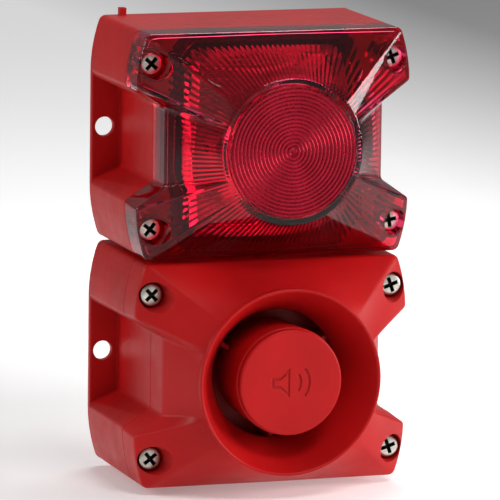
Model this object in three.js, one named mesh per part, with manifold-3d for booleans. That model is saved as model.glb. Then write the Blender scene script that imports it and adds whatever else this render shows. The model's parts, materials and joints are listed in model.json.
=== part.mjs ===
// Horn strobe for a fire alarm: a flashing module on top of a horn module, joined by a hollow nipple.
//
// Millimetres. +X is right, +Z is up, and the wall is the plane Y = 0 with the front facing -Y.
// The origin is in the wall plane, on the seam between the two modules. Inside a module, "depth"
// is the distance in front of the wall (-Y), and x and z are measured from the module's centre.

import * as THREE from "three";
import { mergeVertices } from "three/addons/utils/BufferGeometryUtils.js";
import Module from "manifold-3d";

const wasm = await Module();
wasm.setup();

// ---- Driving dimensions ----

const MODULE_GAP = 2;
const HALF_HEIGHT = 53;
const MODULE_OFFSET = HALF_HEIGHT + MODULE_GAP / 2;
const HALF_WIDTH = 67;
const EAR_BULGE = 4.8; // how much narrower a module is at its top edge than beside its notches
const CORNER = 3;
const CLEARANCE = 0.3; // between neighbouring pieces

const FLANGE_DEPTH = 3.4;
const SPLIT_DEPTH = 56.5; // where housing and cover meet
const COVER_BACK = SPLIT_DEPTH + CLEARANCE;
const EAR_DEPTH = 74.6; // front edge of the ears
const NOTCH = { wallX: 53.4, innerHalf: 18.5, backHalf: 24.8, splitHalf: 26.8, frontHalf: 28 };
const WALL = 3;
const EAR_CORE = { x: 58, z: 41, width: 17, height: 26, front: 50 }; // pockets open to the wall
const SIDE_CORE = { x: 47.9, width: 4.6, height: 28, front: 50 };
const FIXING_HOLE = { x: 60.6, r: 4.6 };

const SCREW = { x: 59, z: 38.8, headR: 5.6, headHeight: 3.4, shankR: 3, tipDepth: 40 };
const PILLAR = { r: 6.3, boreR: 3.3, boreBottom: 36 };
const LENS_SEAT = { depth: 67.5, boreR: 6.1, frontR: 6.6, bossR: 7.6 };
const COVER_SEAT = { depth: 71.5, boreR: 6.0, frontR: 7.6, bossR: 9.4 };
const SEAT_FRONT = 86; // depth at which a screw well reaches its front radius

const GASKET = { half: 2.4, grooveHalf: 2.7, lip: 3.7, back: 54.3, front: 56.4 };
const SKIRT = { reach: 6, back: 55.3, lipFront: 55 }; // the gasket's skirt over the housing's lip
const SEAL_FLANGE = { half: 3, thickness: 2.4 }; // presses on the gasket from inside a cover
const GROOVE_BOTTOM = 54;

const LENS = { wall: 2.6, shoulderR: 34.2, shoulderDepth: 101.5, discR: 31.3, front: 103.5 };
const HORN = { wall: 2.8, mouthR: 43.5, rimR: 44.3, rimDepth: 104.3, neckR: 43, neckBack: 98.5 };
const HORN_SEAT = { shoulderR: 44, shoulderDepth: 100.5 }; // the cover's edge that the rim rests on
const BOWL = { r: 32, lipR: 30.5, lipDepth: 79, lipBack: 77.4, back: 59 };

const JOINT_DEPTH = 20; // axis of the nipple between the modules
const ENTRY = { x: 24, depth: 28 };
const M20 = { r: 9.9, holeR: 10.25 };
const PLUG = { headR: 12.5, headHeight: 3.2, end: -45 };

const STROBE_BOARD = { back: 14, halfX: 35, halfZ: 30, postX: 30, postZ: 24 };
const SOUNDER_BOARD = { back: 9, halfX: 37, halfZ: 32, postX: 32, postZ: 26 };
const BOARD_THICKNESS = 1.6;
const POST = { r: 3.5, boreR: 1.6, boreBottom: 5 };

const SLIDER = { pitch: 2.54, halfX: 0.6, halfZ: 0.8, travel: 1.8 };
const CORNERS = [[-1, 1], [1, 1], [-1, -1], [1, -1]];

const colour = (hex, roughness, metalness = 0) =>
  new THREE.MeshStandardMaterial({ color: hex, roughness, metalness });

const MATERIALS = {
  redPlastic: colour(0xb3161c, 0.42),
  crimsonLens: new THREE.MeshStandardMaterial({
    color: 0x9c0f24, roughness: 0.08, transparent: true, opacity: 0.6,
  }),
  rubber: colour(0x141416, 0.75),
  steel: colour(0xb9b6ae, 0.3, 1),
  board: colour(0x1d5a36, 0.5),
  blackPlastic: colour(0x1b1b1d, 0.5),
  greyPlastic: colour(0x6f7376, 0.5),
  bluePlastic: colour(0x1f4f9c, 0.45),
  whitePlastic: colour(0xe9e7e0, 0.45),
  mirror: colour(0xd9dadb, 0.15, 1),
  glass: new THREE.MeshStandardMaterial({
    color: 0xeef4f6, roughness: 0.03, transparent: true, opacity: 0.35,
  }),
  ferrite: colour(0x2a2826, 0.7),
  film: colour(0xc9a35a, 0.35),
  copper: colour(0xb8703a, 0.35, 1),
  brass: colour(0xb39548, 0.35, 1),
  cable: colour(0x2b2b2e, 0.6),
};

// ---- Solids: three.js geometries joined and cut with manifold-3d ----

function signedVolume(position, index) {
  const [a, b, c] = [new THREE.Vector3(), new THREE.Vector3(), new THREE.Vector3()];
  let volume = 0;
  for (let i = 0; i < index.length; i += 3) {
    a.fromArray(position, index[i] * 3);
    b.fromArray(position, index[i + 1] * 3);
    c.fromArray(position, index[i + 2] * 3);
    volume += a.dot(b.cross(c)) / 6;
  }
  return volume;
}

// A closed geometry as a solid whose faces point out.
function toSolid(geometry) {
  const bare = geometry.clone();
  bare.deleteAttribute("normal");
  bare.deleteAttribute("uv");
  const merged = mergeVertices(bare, 1e-4);
  const position = merged.attributes.position.array;
  const index = [];
  for (let i = 0; i < merged.index.count; i += 3) {
    const [a, b, c] = [0, 1, 2].map((k) => merged.index.getX(i + k));
    if (a !== b && b !== c && c !== a) index.push(a, b, c);
  }
  if (signedVolume(position, index) < 0) index.reverse();
  const mesh = new wasm.Mesh({
    numProp: 3,
    vertProperties: Float32Array.from(position),
    triVerts: Uint32Array.from(index),
  });
  return new wasm.Manifold(mesh);
}

const asSolid = (shape) => (shape.isBufferGeometry ? toSolid(shape) : shape);
const join = (...shapes) => shapes.map(asSolid).reduce((a, b) => a.add(b));
const cut = (body, ...tools) => tools.map(asSolid).reduce((a, b) => a.subtract(b), asSolid(body));
const common = (a, b) => asSolid(a).intersect(asSolid(b));

function addPart(group, name, shape, material) {
  const { vertProperties, triVerts } = asSolid(shape).getMesh();
  const geometry = new THREE.BufferGeometry();
  geometry.setAttribute("position", new THREE.BufferAttribute(vertProperties, 3));
  geometry.setIndex(new THREE.BufferAttribute(triVerts, 1));
  geometry.computeVertexNormals();
  const mesh = new THREE.Mesh(geometry, material);
  mesh.name = name;
  group.add(mesh);
}

// ---- Shape helpers, all in a module's x, z and depth ----

// An outline of [x, z] points, extruded from one depth to another.
function prism(points, from, to) {
  const shape = new THREE.Shape(points.map(([x, z]) => new THREE.Vector2(x, z)));
  const geometry = new THREE.ExtrudeGeometry(shape, { depth: to - from, bevelEnabled: false });
  return geometry.translate(0, 0, from).rotateX(Math.PI / 2);
}

function block(x, z, width, height, from, to) {
  return new THREE.BoxGeometry(width, to - from, height).translate(x, -(from + to) / 2, z);
}

// A round post or hole tool along the depth axis, or a cone where the two radii differ.
function disc(x, z, r, from, to, segments = 16, frontR = r) {
  const geometry = new THREE.CylinderGeometry(r, frontR, to - from, segments);
  return geometry.translate(x, -(from + to) / 2, z);
}

// A closed [radius, depth] profile turned about the depth axis.
function turned(profile, segments = 24) {
  const points = profile.map(([r, depth]) => new THREE.Vector2(r, depth));
  return new THREE.LatheGeometry(points, segments).rotateX(Math.PI);
}

// A ring from inner to outer radius between two depths.
const washer = (inner, outer, from, to, segments = 24) =>
  turned([[inner, from], [outer, from], [outer, to], [inner, to], [inner, from]], segments);

// A closed [radius, height] profile turned about a vertical axis at x and depth.
function turnedUpright(profile, x, depth, segments = 20) {
  const points = profile.map(([r, height]) => new THREE.Vector2(r, height));
  const geometry = new THREE.LatheGeometry(points, segments);
  return geometry.rotateX(Math.PI / 2).translate(x, -depth, 0);
}

// A solid through outlines with equal numbers of points, each at its own depth.
function loft(sections) {
  const count = sections[0].points.length;
  const position = sections.flatMap(({ points, depth }) => points.flatMap(([x, z]) => [x, -depth, z]));
  const index = [];
  for (let s = 0; s < sections.length - 1; s++) {
    for (let i = 0; i < count; i++) {
      const a = s * count + i;
      const b = s * count + ((i + 1) % count);
      index.push(a, b, b + count, a, b + count, a + count);
    }
  }
  const last = (sections.length - 1) * count;
  const cap = (points) =>
    THREE.ShapeUtils.triangulateShape(points.map(([x, z]) => new THREE.Vector2(x, z)), []);
  for (const [a, b, c] of cap(sections[0].points)) index.push(a, c, b);
  for (const [a, b, c] of cap(sections.at(-1).points)) index.push(last + a, last + b, last + c);
  const geometry = new THREE.BufferGeometry();
  geometry.setAttribute("position", new THREE.Float32BufferAttribute(position, 3));
  geometry.setIndex(index);
  return geometry;
}

// ---- Outlines ----

// A quarter of an outline, mirrored into all four quarters, anticlockwise from the lower right.
function mirrored(quarter) {
  const flip = (points, sx, sz) => points.map(([x, z]) => [x * sx, z * sz]);
  const back = [...quarter].reverse();
  return [...flip(back, 1, -1), ...quarter, ...flip(back, -1, 1), ...flip(quarter, -1, -1)];
}

// x of an ear's outer edge, which curves in towards the module's top edge.
function earEdge(z) {
  const share = Math.max(0, (z - NOTCH.splitHalf) / (HALF_HEIGHT - NOTCH.splitHalf));
  return HALF_WIDTH - EAR_BULGE * share ** 2;
}

function earQuarter(notchHalf) {
  const steps = 3;
  const top = HALF_HEIGHT - CORNER;
  const points = [];
  for (let i = 0; i <= steps; i++) {
    const z = notchHalf + ((top - notchHalf) * i) / steps;
    points.push([earEdge(z), z]);
  }
  points.push([earEdge(HALF_HEIGHT) - CORNER, HALF_HEIGHT]);
  return points;
}

const flangeOutline = () => mirrored(earQuarter(NOTCH.backHalf));
const notchedOutline = (notchHalf) =>
  mirrored([[NOTCH.wallX, NOTCH.innerHalf], ...earQuarter(notchHalf)]);

// The centre line of the gasket, which keeps clear of the screws.
const gasketLine = () => mirrored([[45.6, 16], [42.4, 22], [42.4, 42.5], [36.7, 48.2]]);

// An outline with its edges moved inwards by distance, or outwards where it is negative.
function inset(points, distance) {
  const normal = ([ax, az], [bx, bz]) => {
    const length = Math.hypot(bx - ax, bz - az);
    return [-(bz - az) / length, (bx - ax) / length];
  };
  return points.map(([x, z], i) => {
    const before = normal(points.at(i - 1), [x, z]);
    const after = normal([x, z], points[(i + 1) % points.length]);
    const scale = distance / (1 + before[0] * after[0] + before[1] * after[1]);
    return [x + (before[0] + after[0]) * scale, z + (before[1] + after[1]) * scale];
  });
}

// The outline with its long edges split at even angles, so that it can be lofted to a circle.
function splitEvenly(points, maxAngle = Math.PI / 14) {
  return points.flatMap(([ax, az], i) => {
    const [bx, bz] = points[(i + 1) % points.length];
    const start = Math.atan2(az, ax);
    const turn = Math.atan2(ax * bz - az * bx, ax * bx + az * bz);
    const parts = Math.ceil(turn / maxAngle);
    return Array.from({ length: parts }, (_, k) => {
      const angle = start + (turn * k) / parts;
      const [ux, uz] = [Math.cos(angle), Math.sin(angle)];
      const share = -(ax * uz - az * ux) / ((bx - ax) * uz - (bz - az) * ux);
      return [ax + (bx - ax) * share, az + (bz - az) * share];
    });
  });
}

const circleUnder = (points, r) =>
  points.map(([x, z]) => [(r * x) / Math.hypot(x, z), (r * z) / Math.hypot(x, z)]);

// ---- Housings ----

function housingBody(board) {
  const shell = loft([
    { depth: 0, points: notchedOutline(NOTCH.backHalf) },
    { depth: SPLIT_DEPTH, points: notchedOutline(NOTCH.splitHalf) },
  ]);
  const groove = cut(
    prism(inset(gasketLine(), -GASKET.grooveHalf), GROOVE_BOTTOM, SPLIT_DEPTH + 1),
    prism(inset(gasketLine(), GASKET.grooveHalf), GROOVE_BOTTOM - 1, SPLIT_DEPTH + 2),
  );
  const chamber = prism(inset(gasketLine(), GASKET.lip), WALL, SPLIT_DEPTH + 1);
  const overLip = prism(inset(gasketLine(), GASKET.grooveHalf - 0.1), SKIRT.lipFront, SPLIT_DEPTH + 1);
  const body = cut(join(shell, prism(flangeOutline(), 0, FLANGE_DEPTH)), groove, chamber, overLip);
  return cut(join(cut(body, ...earCores(), ...sideCores()), ...boardPosts(board)), ...housingHoles(board));
}

// Pockets cored from the back inside the ears, each round its screw pillar.
function earCores() {
  const { x, z, width, height, front } = EAR_CORE;
  const inside = prism(inset(notchedOutline(NOTCH.backHalf), WALL), -1, front);
  return CORNERS.map(([sx, sz]) =>
    cut(common(inside, block(sx * x, sz * z, width, height, -2, front + 1)),
      disc(sx * SCREW.x, sz * SCREW.z, PILLAR.r, -3, front + 2, 12)),
  );
}

// Slots cored from the back behind the side notches.
const sideCores = () =>
  [-1, 1].map((side) =>
    block(side * SIDE_CORE.x, 0, SIDE_CORE.width, SIDE_CORE.height, -1, SIDE_CORE.front));

const boardPosts = (board) =>
  CORNERS.map(([sx, sz]) =>
    disc(sx * board.postX, sz * board.postZ, POST.r, WALL - 1, board.back - CLEARANCE, 8));

function housingHoles(board) {
  const fixings = [-1, 1].map((s) => disc(s * FIXING_HOLE.x, 0, FIXING_HOLE.r, -1, FLANGE_DEPTH + 1));
  const screwBores = CORNERS.map(([sx, sz]) =>
    disc(sx * SCREW.x, sz * SCREW.z, PILLAR.boreR, PILLAR.boreBottom, SPLIT_DEPTH + 1, 12));
  const postBores = CORNERS.map(([sx, sz]) =>
    disc(sx * board.postX, sz * board.postZ, POST.boreR, POST.boreBottom, board.back, 8));
  return [...fixings, ...screwBores, ...postBores];
}

// An upright hole for an M20 thread, through a module's top or bottom wall.
const m20Hole = (side, x, depth) =>
  turnedUpright([[0, side * 40], [M20.holeR, side * 40], [M20.holeR, side * 60], [0, side * 60]], x, depth);

function strobeHousing() {
  const locatingPeg = block(-52, HALF_HEIGHT + 1.2, 3, 4.4, 0, 4);
  return cut(join(housingBody(STROBE_BOARD), locatingPeg), m20Hole(-1, 0, JOINT_DEPTH));
}

function sounderHousing() {
  const entries = [-1, 1].map((s) => m20Hole(-1, s * ENTRY.x, ENTRY.depth));
  return cut(housingBody(SOUNDER_BOARD), m20Hole(1, 0, JOINT_DEPTH), ...entries);
}

// The seal between housing and cover, with a skirt that lies over the housing's inner lip.
function gasket() {
  const { half, back, front } = GASKET;
  const bead = cut(prism(inset(gasketLine(), -half), back, front),
    prism(inset(gasketLine(), half), back - 1, front + 1));
  const skirt = cut(prism(inset(gasketLine(), half - 1), SKIRT.back, front),
    prism(inset(gasketLine(), SKIRT.reach), SKIRT.back - 1, front + 1));
  return join(bead, skirt);
}

// ---- Covers ----

// The outside of a cover: a notched rim that slopes up to a circle at its shoulder.
function coverForm(thickness, shoulderR, shoulderDepth) {
  const rim = splitEvenly(notchedOutline(NOTCH.splitHalf));
  const ears = splitEvenly(notchedOutline(NOTCH.frontHalf));
  const circle = circleUnder(ears, shoulderR);
  return loft([
    { depth: COVER_BACK - thickness * 0.5, points: inset(rim, thickness) },
    { depth: EAR_DEPTH - thickness * 0.6, points: inset(ears, thickness) },
    { depth: shoulderDepth - thickness * 0.6, points: inset(circle, thickness) },
  ]);
}

// A cover's shell with its screw bosses and the flange that presses on the gasket.
function coverShell(wall, shoulderR, shoulderDepth, seat) {
  const outside = coverForm(0, shoulderR, shoulderDepth);
  const inside = coverForm(wall, shoulderR, shoulderDepth);
  const midWall = coverForm(wall / 2, shoulderR, shoulderDepth);
  const bosses = CORNERS.map(([sx, sz]) => disc(sx * SCREW.x, sz * SCREW.z, seat.bossR, COVER_BACK, 100, 12));
  const flangeFront = COVER_BACK + SEAL_FLANGE.thickness;
  const sealFlange = cut(
    prism(notchedOutline(NOTCH.splitHalf), COVER_BACK, flangeFront),
    prism(inset(gasketLine(), SEAL_FLANGE.half), COVER_BACK - 1, flangeFront + 1),
  );
  return join(cut(outside, inside), common(join(sealFlange, ...bosses), midWall));
}

function screwWells(seat) {
  const slope = (seat.frontR - seat.boreR) / (SEAT_FRONT - seat.depth);
  const end = 100;
  const endR = seat.boreR + slope * (end - seat.depth);
  return CORNERS.flatMap(([sx, sz]) => [
    disc(sx * SCREW.x, sz * SCREW.z, seat.boreR, seat.depth, end, 16, endR),
    disc(sx * SCREW.x, sz * SCREW.z, PILLAR.boreR, COVER_BACK - 1, seat.depth + 1, 12),
  ]);
}

function lens() {
  const shell = coverShell(LENS.wall, LENS.shoulderR, LENS.shoulderDepth, LENS_SEAT);
  const fresnelDisc = disc(0, 0, LENS.discR, LENS.shoulderDepth - 1, LENS.front, 36);
  return cut(join(shell, fresnelDisc), ...screwWells(LENS_SEAT));
}

function sounderCover() {
  const { shoulderR, shoulderDepth } = HORN_SEAT;
  const shell = coverShell(WALL, shoulderR, shoulderDepth, COVER_SEAT);
  const hornHole = disc(0, 0, HORN.neckR + CLEARANCE, 60, shoulderDepth + 1, 36);
  return cut(shell, hornHole, ...screwWells(COVER_SEAT));
}

// The horn: a bowl behind a lip, and a flare that widens to the mouth and rests on the cover by its rim.
function hornFlare() {
  const { wall, mouthR, rimR, rimDepth, neckR, neckBack } = HORN;
  const rimBack = HORN_SEAT.shoulderDepth + CLEARANCE;
  const flareR = (depth) =>
    BOWL.lipR + (mouthR - BOWL.lipR) * ((depth - BOWL.lipDepth) / (rimDepth - BOWL.lipDepth)) ** 1.17;
  const flare = [86.5, 95].map((depth) => [flareR(depth), depth]);
  return turned([
    [BOWL.r, BOWL.back], [BOWL.r, BOWL.lipBack], [BOWL.lipR, BOWL.lipBack], [BOWL.lipR, BOWL.lipDepth],
    ...flare, [mouthR, rimDepth], [rimR, rimDepth], [rimR, rimBack], [neckR, rimBack],
    [neckR, neckBack], [BOWL.r + wall, BOWL.lipDepth + 2], [BOWL.r + wall, BOWL.back], [BOWL.r, BOWL.back],
  ], 36);
}

// ---- Fasteners ----

function crossRecess(x, z, top, span, width, deep) {
  const bars = [[span, width], [width, span]].map(([w, h]) => block(0, 0, w, h, top - deep, top + 1));
  return bars.map((bar) => bar.rotateY(Math.PI / 4).translate(x, 0, z));
}

function coverScrew(x, z, seatDepth) {
  const seat = seatDepth + CLEARANCE;
  const top = seatDepth + SCREW.headHeight;
  const { headR, shankR, tipDepth } = SCREW;
  const profile = [
    [0, tipDepth], [shankR, tipDepth], [shankR, seat], [headR, seat],
    [headR, top - 1.7], [headR * 0.72, top - 0.4], [0, top],
  ];
  return cut(turned(profile, 14).translate(x, 0, z), ...crossRecess(x, z, top, 6.4, 1.3, 2));
}

function boardScrew(x, z, boardFront) {
  const seat = boardFront + CLEARANCE;
  const top = seat + 1.9;
  const profile = [
    [0, 7], [1.3, 7], [1.3, seat], [2.8, seat], [2.8, top - 0.7], [1.8, top], [0, top],
  ];
  return cut(turned(profile, 12).translate(x, 0, z), ...crossRecess(x, z, top, 3, 0.7, 1));
}

function addCoverScrews(group, prefix, seatDepth) {
  CORNERS.forEach(([sx, sz], i) =>
    addPart(group, `${prefix}_${i + 1}`, coverScrew(sx * SCREW.x, sz * SCREW.z, seatDepth), MATERIALS.steel));
}

// ---- Circuit boards and what is on them ----

function addBoard(group, prefix, board) {
  const front = board.back + BOARD_THICKNESS;
  const holes = CORNERS.map(([sx, sz]) => disc(sx * board.postX, sz * board.postZ, 1.7, 0, 30, 12));
  const plate = block(0, 0, board.halfX * 2, board.halfZ * 2, board.back, front);
  addPart(group, `${prefix}_board`, cut(plate, ...holes), MATERIALS.board);
  [[-1, 1], [1, -1]].forEach(([sx, sz], i) =>
    addPart(group, `${prefix}_board_screw_${i + 1}`,
      boardScrew(sx * board.postX, sz * board.postZ, front), MATERIALS.steel));
  return front + CLEARANCE;
}

const TERMINAL = { pitch: 5.08, height: 9, top: 10.5, wellR: 1.7, wellBottom: 7 };
const WIRE_MOUTH = { z: 4, width: 3.2, back: 1.2, front: 4.6 };

// A row of screw terminals: round wells for the driver, square mouths for the wires.
function terminalBlock(x, z, ways, from, wireSide) {
  const { pitch, height, top, wellR, wellBottom } = TERMINAL;
  const { z: mouthZ, width, back, front } = WIRE_MOUTH;
  const wells = Array.from({ length: ways }, (_, i) => {
    const at = x + (i - (ways - 1) / 2) * pitch;
    return [
      disc(at, z, wellR, from + wellBottom, from + top + 1, 8),
      block(at, z + wireSide * mouthZ, width, mouthZ, from + back, from + front),
    ];
  });
  return cut(block(x, z, ways * pitch + 1, height, from, from + top), ...wells.flat());
}

// A bank of small slide switches, each slider resting at the lower end of its slot.
function addSlideSwitches(group, bank, sliderPrefix, ways, x, z, from) {
  const top = from + 5;
  const slotHalf = SLIDER.travel / 2 + SLIDER.halfZ + CLEARANCE;
  const places = Array.from({ length: ways }, (_, i) => x + (i - (ways - 1) / 2) * SLIDER.pitch);
  const slotWidth = 2 * (SLIDER.halfX + CLEARANCE);
  const slots = places.map((at) => block(at, z, slotWidth, 2 * slotHalf, top - 1.4, top + 1));
  const body = block(x, z, ways * SLIDER.pitch + 1.4, 9.6, from, top);
  addPart(group, bank, cut(body, ...slots), MATERIALS.bluePlastic);
  places.forEach((at, i) => {
    const slider = block(at, z - SLIDER.travel / 2, 2 * SLIDER.halfX, 2 * SLIDER.halfZ, top - 1.1, top + 0.9);
    addPart(group, `${sliderPrefix}_${i + 1}`, slider, MATERIALS.whitePlastic);
  });
}

const TRIMMER = { width: 9.5, height: 5, wellDeep: 2, rotorR: 3.2, proud: 0.6 };
const TRIMMER_SLOT = { length: 4.6, width: 0.9, deep: 0.9 };

// A volume trimmer: a square body and a slotted rotor in a round well.
function addVolumeTrimmer(group, x, z, from) {
  const { width, height, wellDeep, rotorR, proud } = TRIMMER;
  const top = from + height;
  const well = disc(x, z, rotorR + CLEARANCE, top - wellDeep, top + 1, 20);
  const body = cut(block(x, z, width, width, from, top), well);
  const { length, width: slotWidth, deep } = TRIMMER_SLOT;
  const slot = block(x, z, length, slotWidth, top + proud - deep, top + 1);
  const rotor = cut(disc(x, z, rotorR, top - wellDeep + CLEARANCE, top + proud, 20), slot);
  addPart(group, "volume_trimmer", body, MATERIALS.bluePlastic);
  addPart(group, "volume_rotor", rotor, MATERIALS.whitePlastic);
}

// A cylinder lying along x on its board.
function lyingCan(x, z, r, length, from) {
  const can = new THREE.CylinderGeometry(r, r, length, 20).rotateZ(Math.PI / 2);
  return can.translate(x, -(from + r), z);
}

// ---- Strobe module ----

const REFLECTOR = {
  halfX: 38, halfZ: 43.6, corner: 5.5, rim: 55,
  floorX: 32, floorZ: 38, floorCorner: 2.5, floor: 46,
  sheet: 1.2, footX: 24.5, footZ: 33, footR: 2.4,
};
const TUBE = { r: 3, half: 20, depth: 60, postX: 22 };

// The tray-shaped reflector on four feet, with holes for its screws and the flash tube's posts.
function reflector() {
  const { halfX, halfZ, corner, rim, floorX, floorZ, floorCorner, floor, sheet } = REFLECTOR;
  const { footX, footZ, footR } = REFLECTOR;
  const rimLine = mirrored([[halfX, halfZ - corner], [halfX - corner, halfZ]]);
  const floorLine = mirrored([[floorX, floorZ - floorCorner], [floorX - floorCorner, floorZ]]);
  const pan = loft([{ depth: floor - sheet, points: floorLine }, { depth: rim, points: rimLine }]);
  const hollow = loft([
    { depth: floor, points: inset(floorLine, sheet * 0.7) },
    { depth: rim + 1, points: inset(rimLine, sheet * 0.5) },
  ]);
  const feet = CORNERS.map(([sx, sz]) =>
    disc(sx * footX, sz * footZ, footR, WALL + CLEARANCE, floor - sheet / 2, 12));
  const posts = [-1, 1].map((s) => disc(s * TUBE.postX, 0, 1.6, floor - 3, floor + 1, 12));
  const screwHoles = [-1, 1].map((s) => disc(s * footX, -s * footZ, 1.5, floor - 6, floor + 1, 12));
  return cut(join(cut(pan, hollow), ...feet), ...posts, ...screwHoles);
}

function reflectorScrew(side) {
  const { floor, footX, footZ } = REFLECTOR;
  const seat = floor + CLEARANCE;
  const tip = floor - 4.5;
  const profile = [
    [0, tip], [1.2, tip], [1.2, seat], [3, seat], [3, seat + 1.2], [2, seat + 2], [0, seat + 2],
  ];
  return turned(profile, 12).translate(side * footX, 0, -side * footZ);
}

// A xenon tube with round ends, lying along x in front of the reflector.
function flashTube() {
  const { r, half, depth } = TUBE;
  const end = [[0, half], [r * 0.7, half - r * 0.3], [r, half - r]];
  const profile = [...end.map(([radius, along]) => [radius, -along]), ...end.reverse()];
  const points = profile.map(([radius, along]) => new THREE.Vector2(radius, along));
  return new THREE.LatheGeometry(points, 16).rotateZ(Math.PI / 2).translate(0, -depth, 0);
}

// A post that carries one end of the flash tube in a flat clip.
function tubePost(side, boardFront) {
  const post = disc(side * TUBE.postX, 0, 1.1, boardFront, TUBE.depth, 12);
  return join(post, block(side * TUBE.postX, 0, 2.6, 5, TUBE.depth - 2.5, TUBE.depth + 2.5));
}

function strobeModule() {
  const group = new THREE.Group();
  addPart(group, "strobe_housing", strobeHousing(), MATERIALS.redPlastic);
  addPart(group, "strobe_gasket", gasket(), MATERIALS.rubber);
  addPart(group, "strobe_lens", lens(), MATERIALS.crimsonLens);
  addCoverScrews(group, "lens_screw", LENS_SEAT.depth);

  const front = addBoard(group, "strobe", STROBE_BOARD);
  addPart(group, "strobe_terminal", terminalBlock(0, -22, 4, front, -1), MATERIALS.greyPlastic);
  addSlideSwitches(group, "flash_rate_switch", "flash_rate_slider", 2, 19, -22, front);
  addPart(group, "flash_capacitor", lyingCan(6, 17, 8, 32, front), MATERIALS.blackPlastic);
  addPart(group, "trigger_transformer", block(-21, 18, 12, 12, front, front + 12), MATERIALS.film);
  addPart(group, "reflector", reflector(), MATERIALS.mirror);
  [-1, 1].forEach((side, i) => {
    addPart(group, `reflector_screw_${i + 1}`, reflectorScrew(side), MATERIALS.steel);
    addPart(group, `tube_post_${i + 1}`, tubePost(side, front), MATERIALS.brass);
  });
  addPart(group, "flash_tube", flashTube(), MATERIALS.glass);
  return group;
}

// ---- Sounder module ----

const CUP = { capR: 25, capBack: 101.2, front: 104.2, ringR: 25.5, backR: 24.4, back: 68, wall: 2.4 };
const WEB = { width: 2.4, front: 76, angles: [150, 270, 30] };
const THROAT = { discR: 36, back: 55.2, front: 58.7, tubeR: 8, boreR: 5.5, tubeFront: 88, boreFront: 66 };
const DRIVER = { segments: 24, canR: 33, canBack: 31, canFront: 54.9, canWall: 2.4 };
const MAGNET = { r: 28, boreR: 15, back: 38, front: 49.7 };
const YOKE = { r: 27, poleR: 11.6, back: 33.7, thickness: 4, poleFront: 53.5 };
const TOP_PLATE = { r: 27, gapR: 13, back: 50 };
const COIL = { r: 12.6, boreR: 12, back: 46, front: 54 };
const DIAPHRAGM = { r: 26, rollR: 20, back: 54.2, dome: 56.1 };

// The cup that turns the sound back round the throat, standing on three webs.
function hornCup() {
  const { capR, capBack, front, ringR, backR, back, wall } = CUP;
  const inside = capBack - wall;
  const shell = turned([
    [0, inside], [ringR - wall, inside], [backR - wall, back], [backR, back], [ringR, capBack - 3],
    [ringR, capBack - 1], [capR - 0.8, capBack - 0.9], [capR - 0.8, capBack], [capR, capBack],
    [capR, front - 0.9], [capR - 0.9, front], [0, front],
  ], 32);
  const from = backR - wall / 2;
  const to = BOWL.r - CLEARANCE;
  const webs = WEB.angles.map((degrees) => {
    const web = block((from + to) / 2, 0, to - from, WEB.width, THROAT.front + CLEARANCE, WEB.front);
    return web.rotateY(THREE.MathUtils.degToRad(-degrees));
  });
  const ring = washer(from, to, THROAT.front, WEB.front + 1, 32);
  return join(shell, common(join(...webs), ring));
}

// The floor of the horn's bowl, with the tube that leads sound into the cup.
function hornThroat() {
  const { discR, back, front, tubeR, boreR, tubeFront, boreFront } = THROAT;
  const overDome = back + 1.5;
  return turned([
    [boreR, overDome], [22, overDome], [22, back], [discR, back], [discR, front], [tubeR + 1.5, front],
    [tubeR, front + 2], [tubeR, tubeFront], [tubeR - 1.2, tubeFront], [boreR, boreFront], [boreR, overDome],
  ], 24);
}

function driverCan() {
  const { segments, canR, canBack, canFront, canWall } = DRIVER;
  const inner = canR - canWall;
  const floor = canBack + canWall;
  const profile = [
    [0, canBack], [canR, canBack], [canR, canFront], [inner, canFront], [inner, floor], [0, floor],
  ];
  return turned(profile, segments);
}

function driverYoke() {
  const { r, poleR, back, thickness, poleFront } = YOKE;
  const face = back + thickness;
  const profile = [[0, back], [r, back], [r, face], [poleR, face], [poleR, poleFront], [0, poleFront]];
  return turned(profile, DRIVER.segments);
}

function diaphragm() {
  const { r, rollR, back, dome } = DIAPHRAGM;
  const film = 0.7;
  return turned([
    [0, dome - film], [COIL.boreR, back], [r, back], [r, back + film * 0.6], [rollR, back + film],
    [COIL.boreR + 1, back + film], [0, dome],
  ], DRIVER.segments);
}

function addDriver(group) {
  const ring = ({ r, boreR, back, front }) => washer(boreR, r, back, front, DRIVER.segments);
  const topPlate = { r: TOP_PLATE.r, boreR: TOP_PLATE.gapR, back: TOP_PLATE.back, front: YOKE.poleFront };
  addPart(group, "driver_can", driverCan(), MATERIALS.blackPlastic);
  addPart(group, "driver_yoke", driverYoke(), MATERIALS.steel);
  addPart(group, "driver_magnet", ring(MAGNET), MATERIALS.ferrite);
  addPart(group, "driver_top_plate", ring(topPlate), MATERIALS.steel);
  addPart(group, "voice_coil", ring(COIL), MATERIALS.copper);
  addPart(group, "diaphragm", diaphragm(), MATERIALS.film);
}

// A screw-in plug for an unused cable entry, with its head below the housing.
function entryPlug(side) {
  const { headR, headHeight, end } = PLUG;
  const face = -HALF_HEIGHT - CLEARANCE;
  const bottom = face - headHeight;
  const profile = [
    [0, end], [M20.r, end], [M20.r, face], [headR, face],
    [headR, bottom + 0.8], [headR - 0.9, bottom], [0, bottom],
  ];
  const plug = turnedUpright(profile, side * ENTRY.x, ENTRY.depth);
  const slot = new THREE.BoxGeometry(14, 2, 2.4).translate(side * ENTRY.x, -ENTRY.depth, bottom);
  return cut(plug, slot);
}

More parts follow.
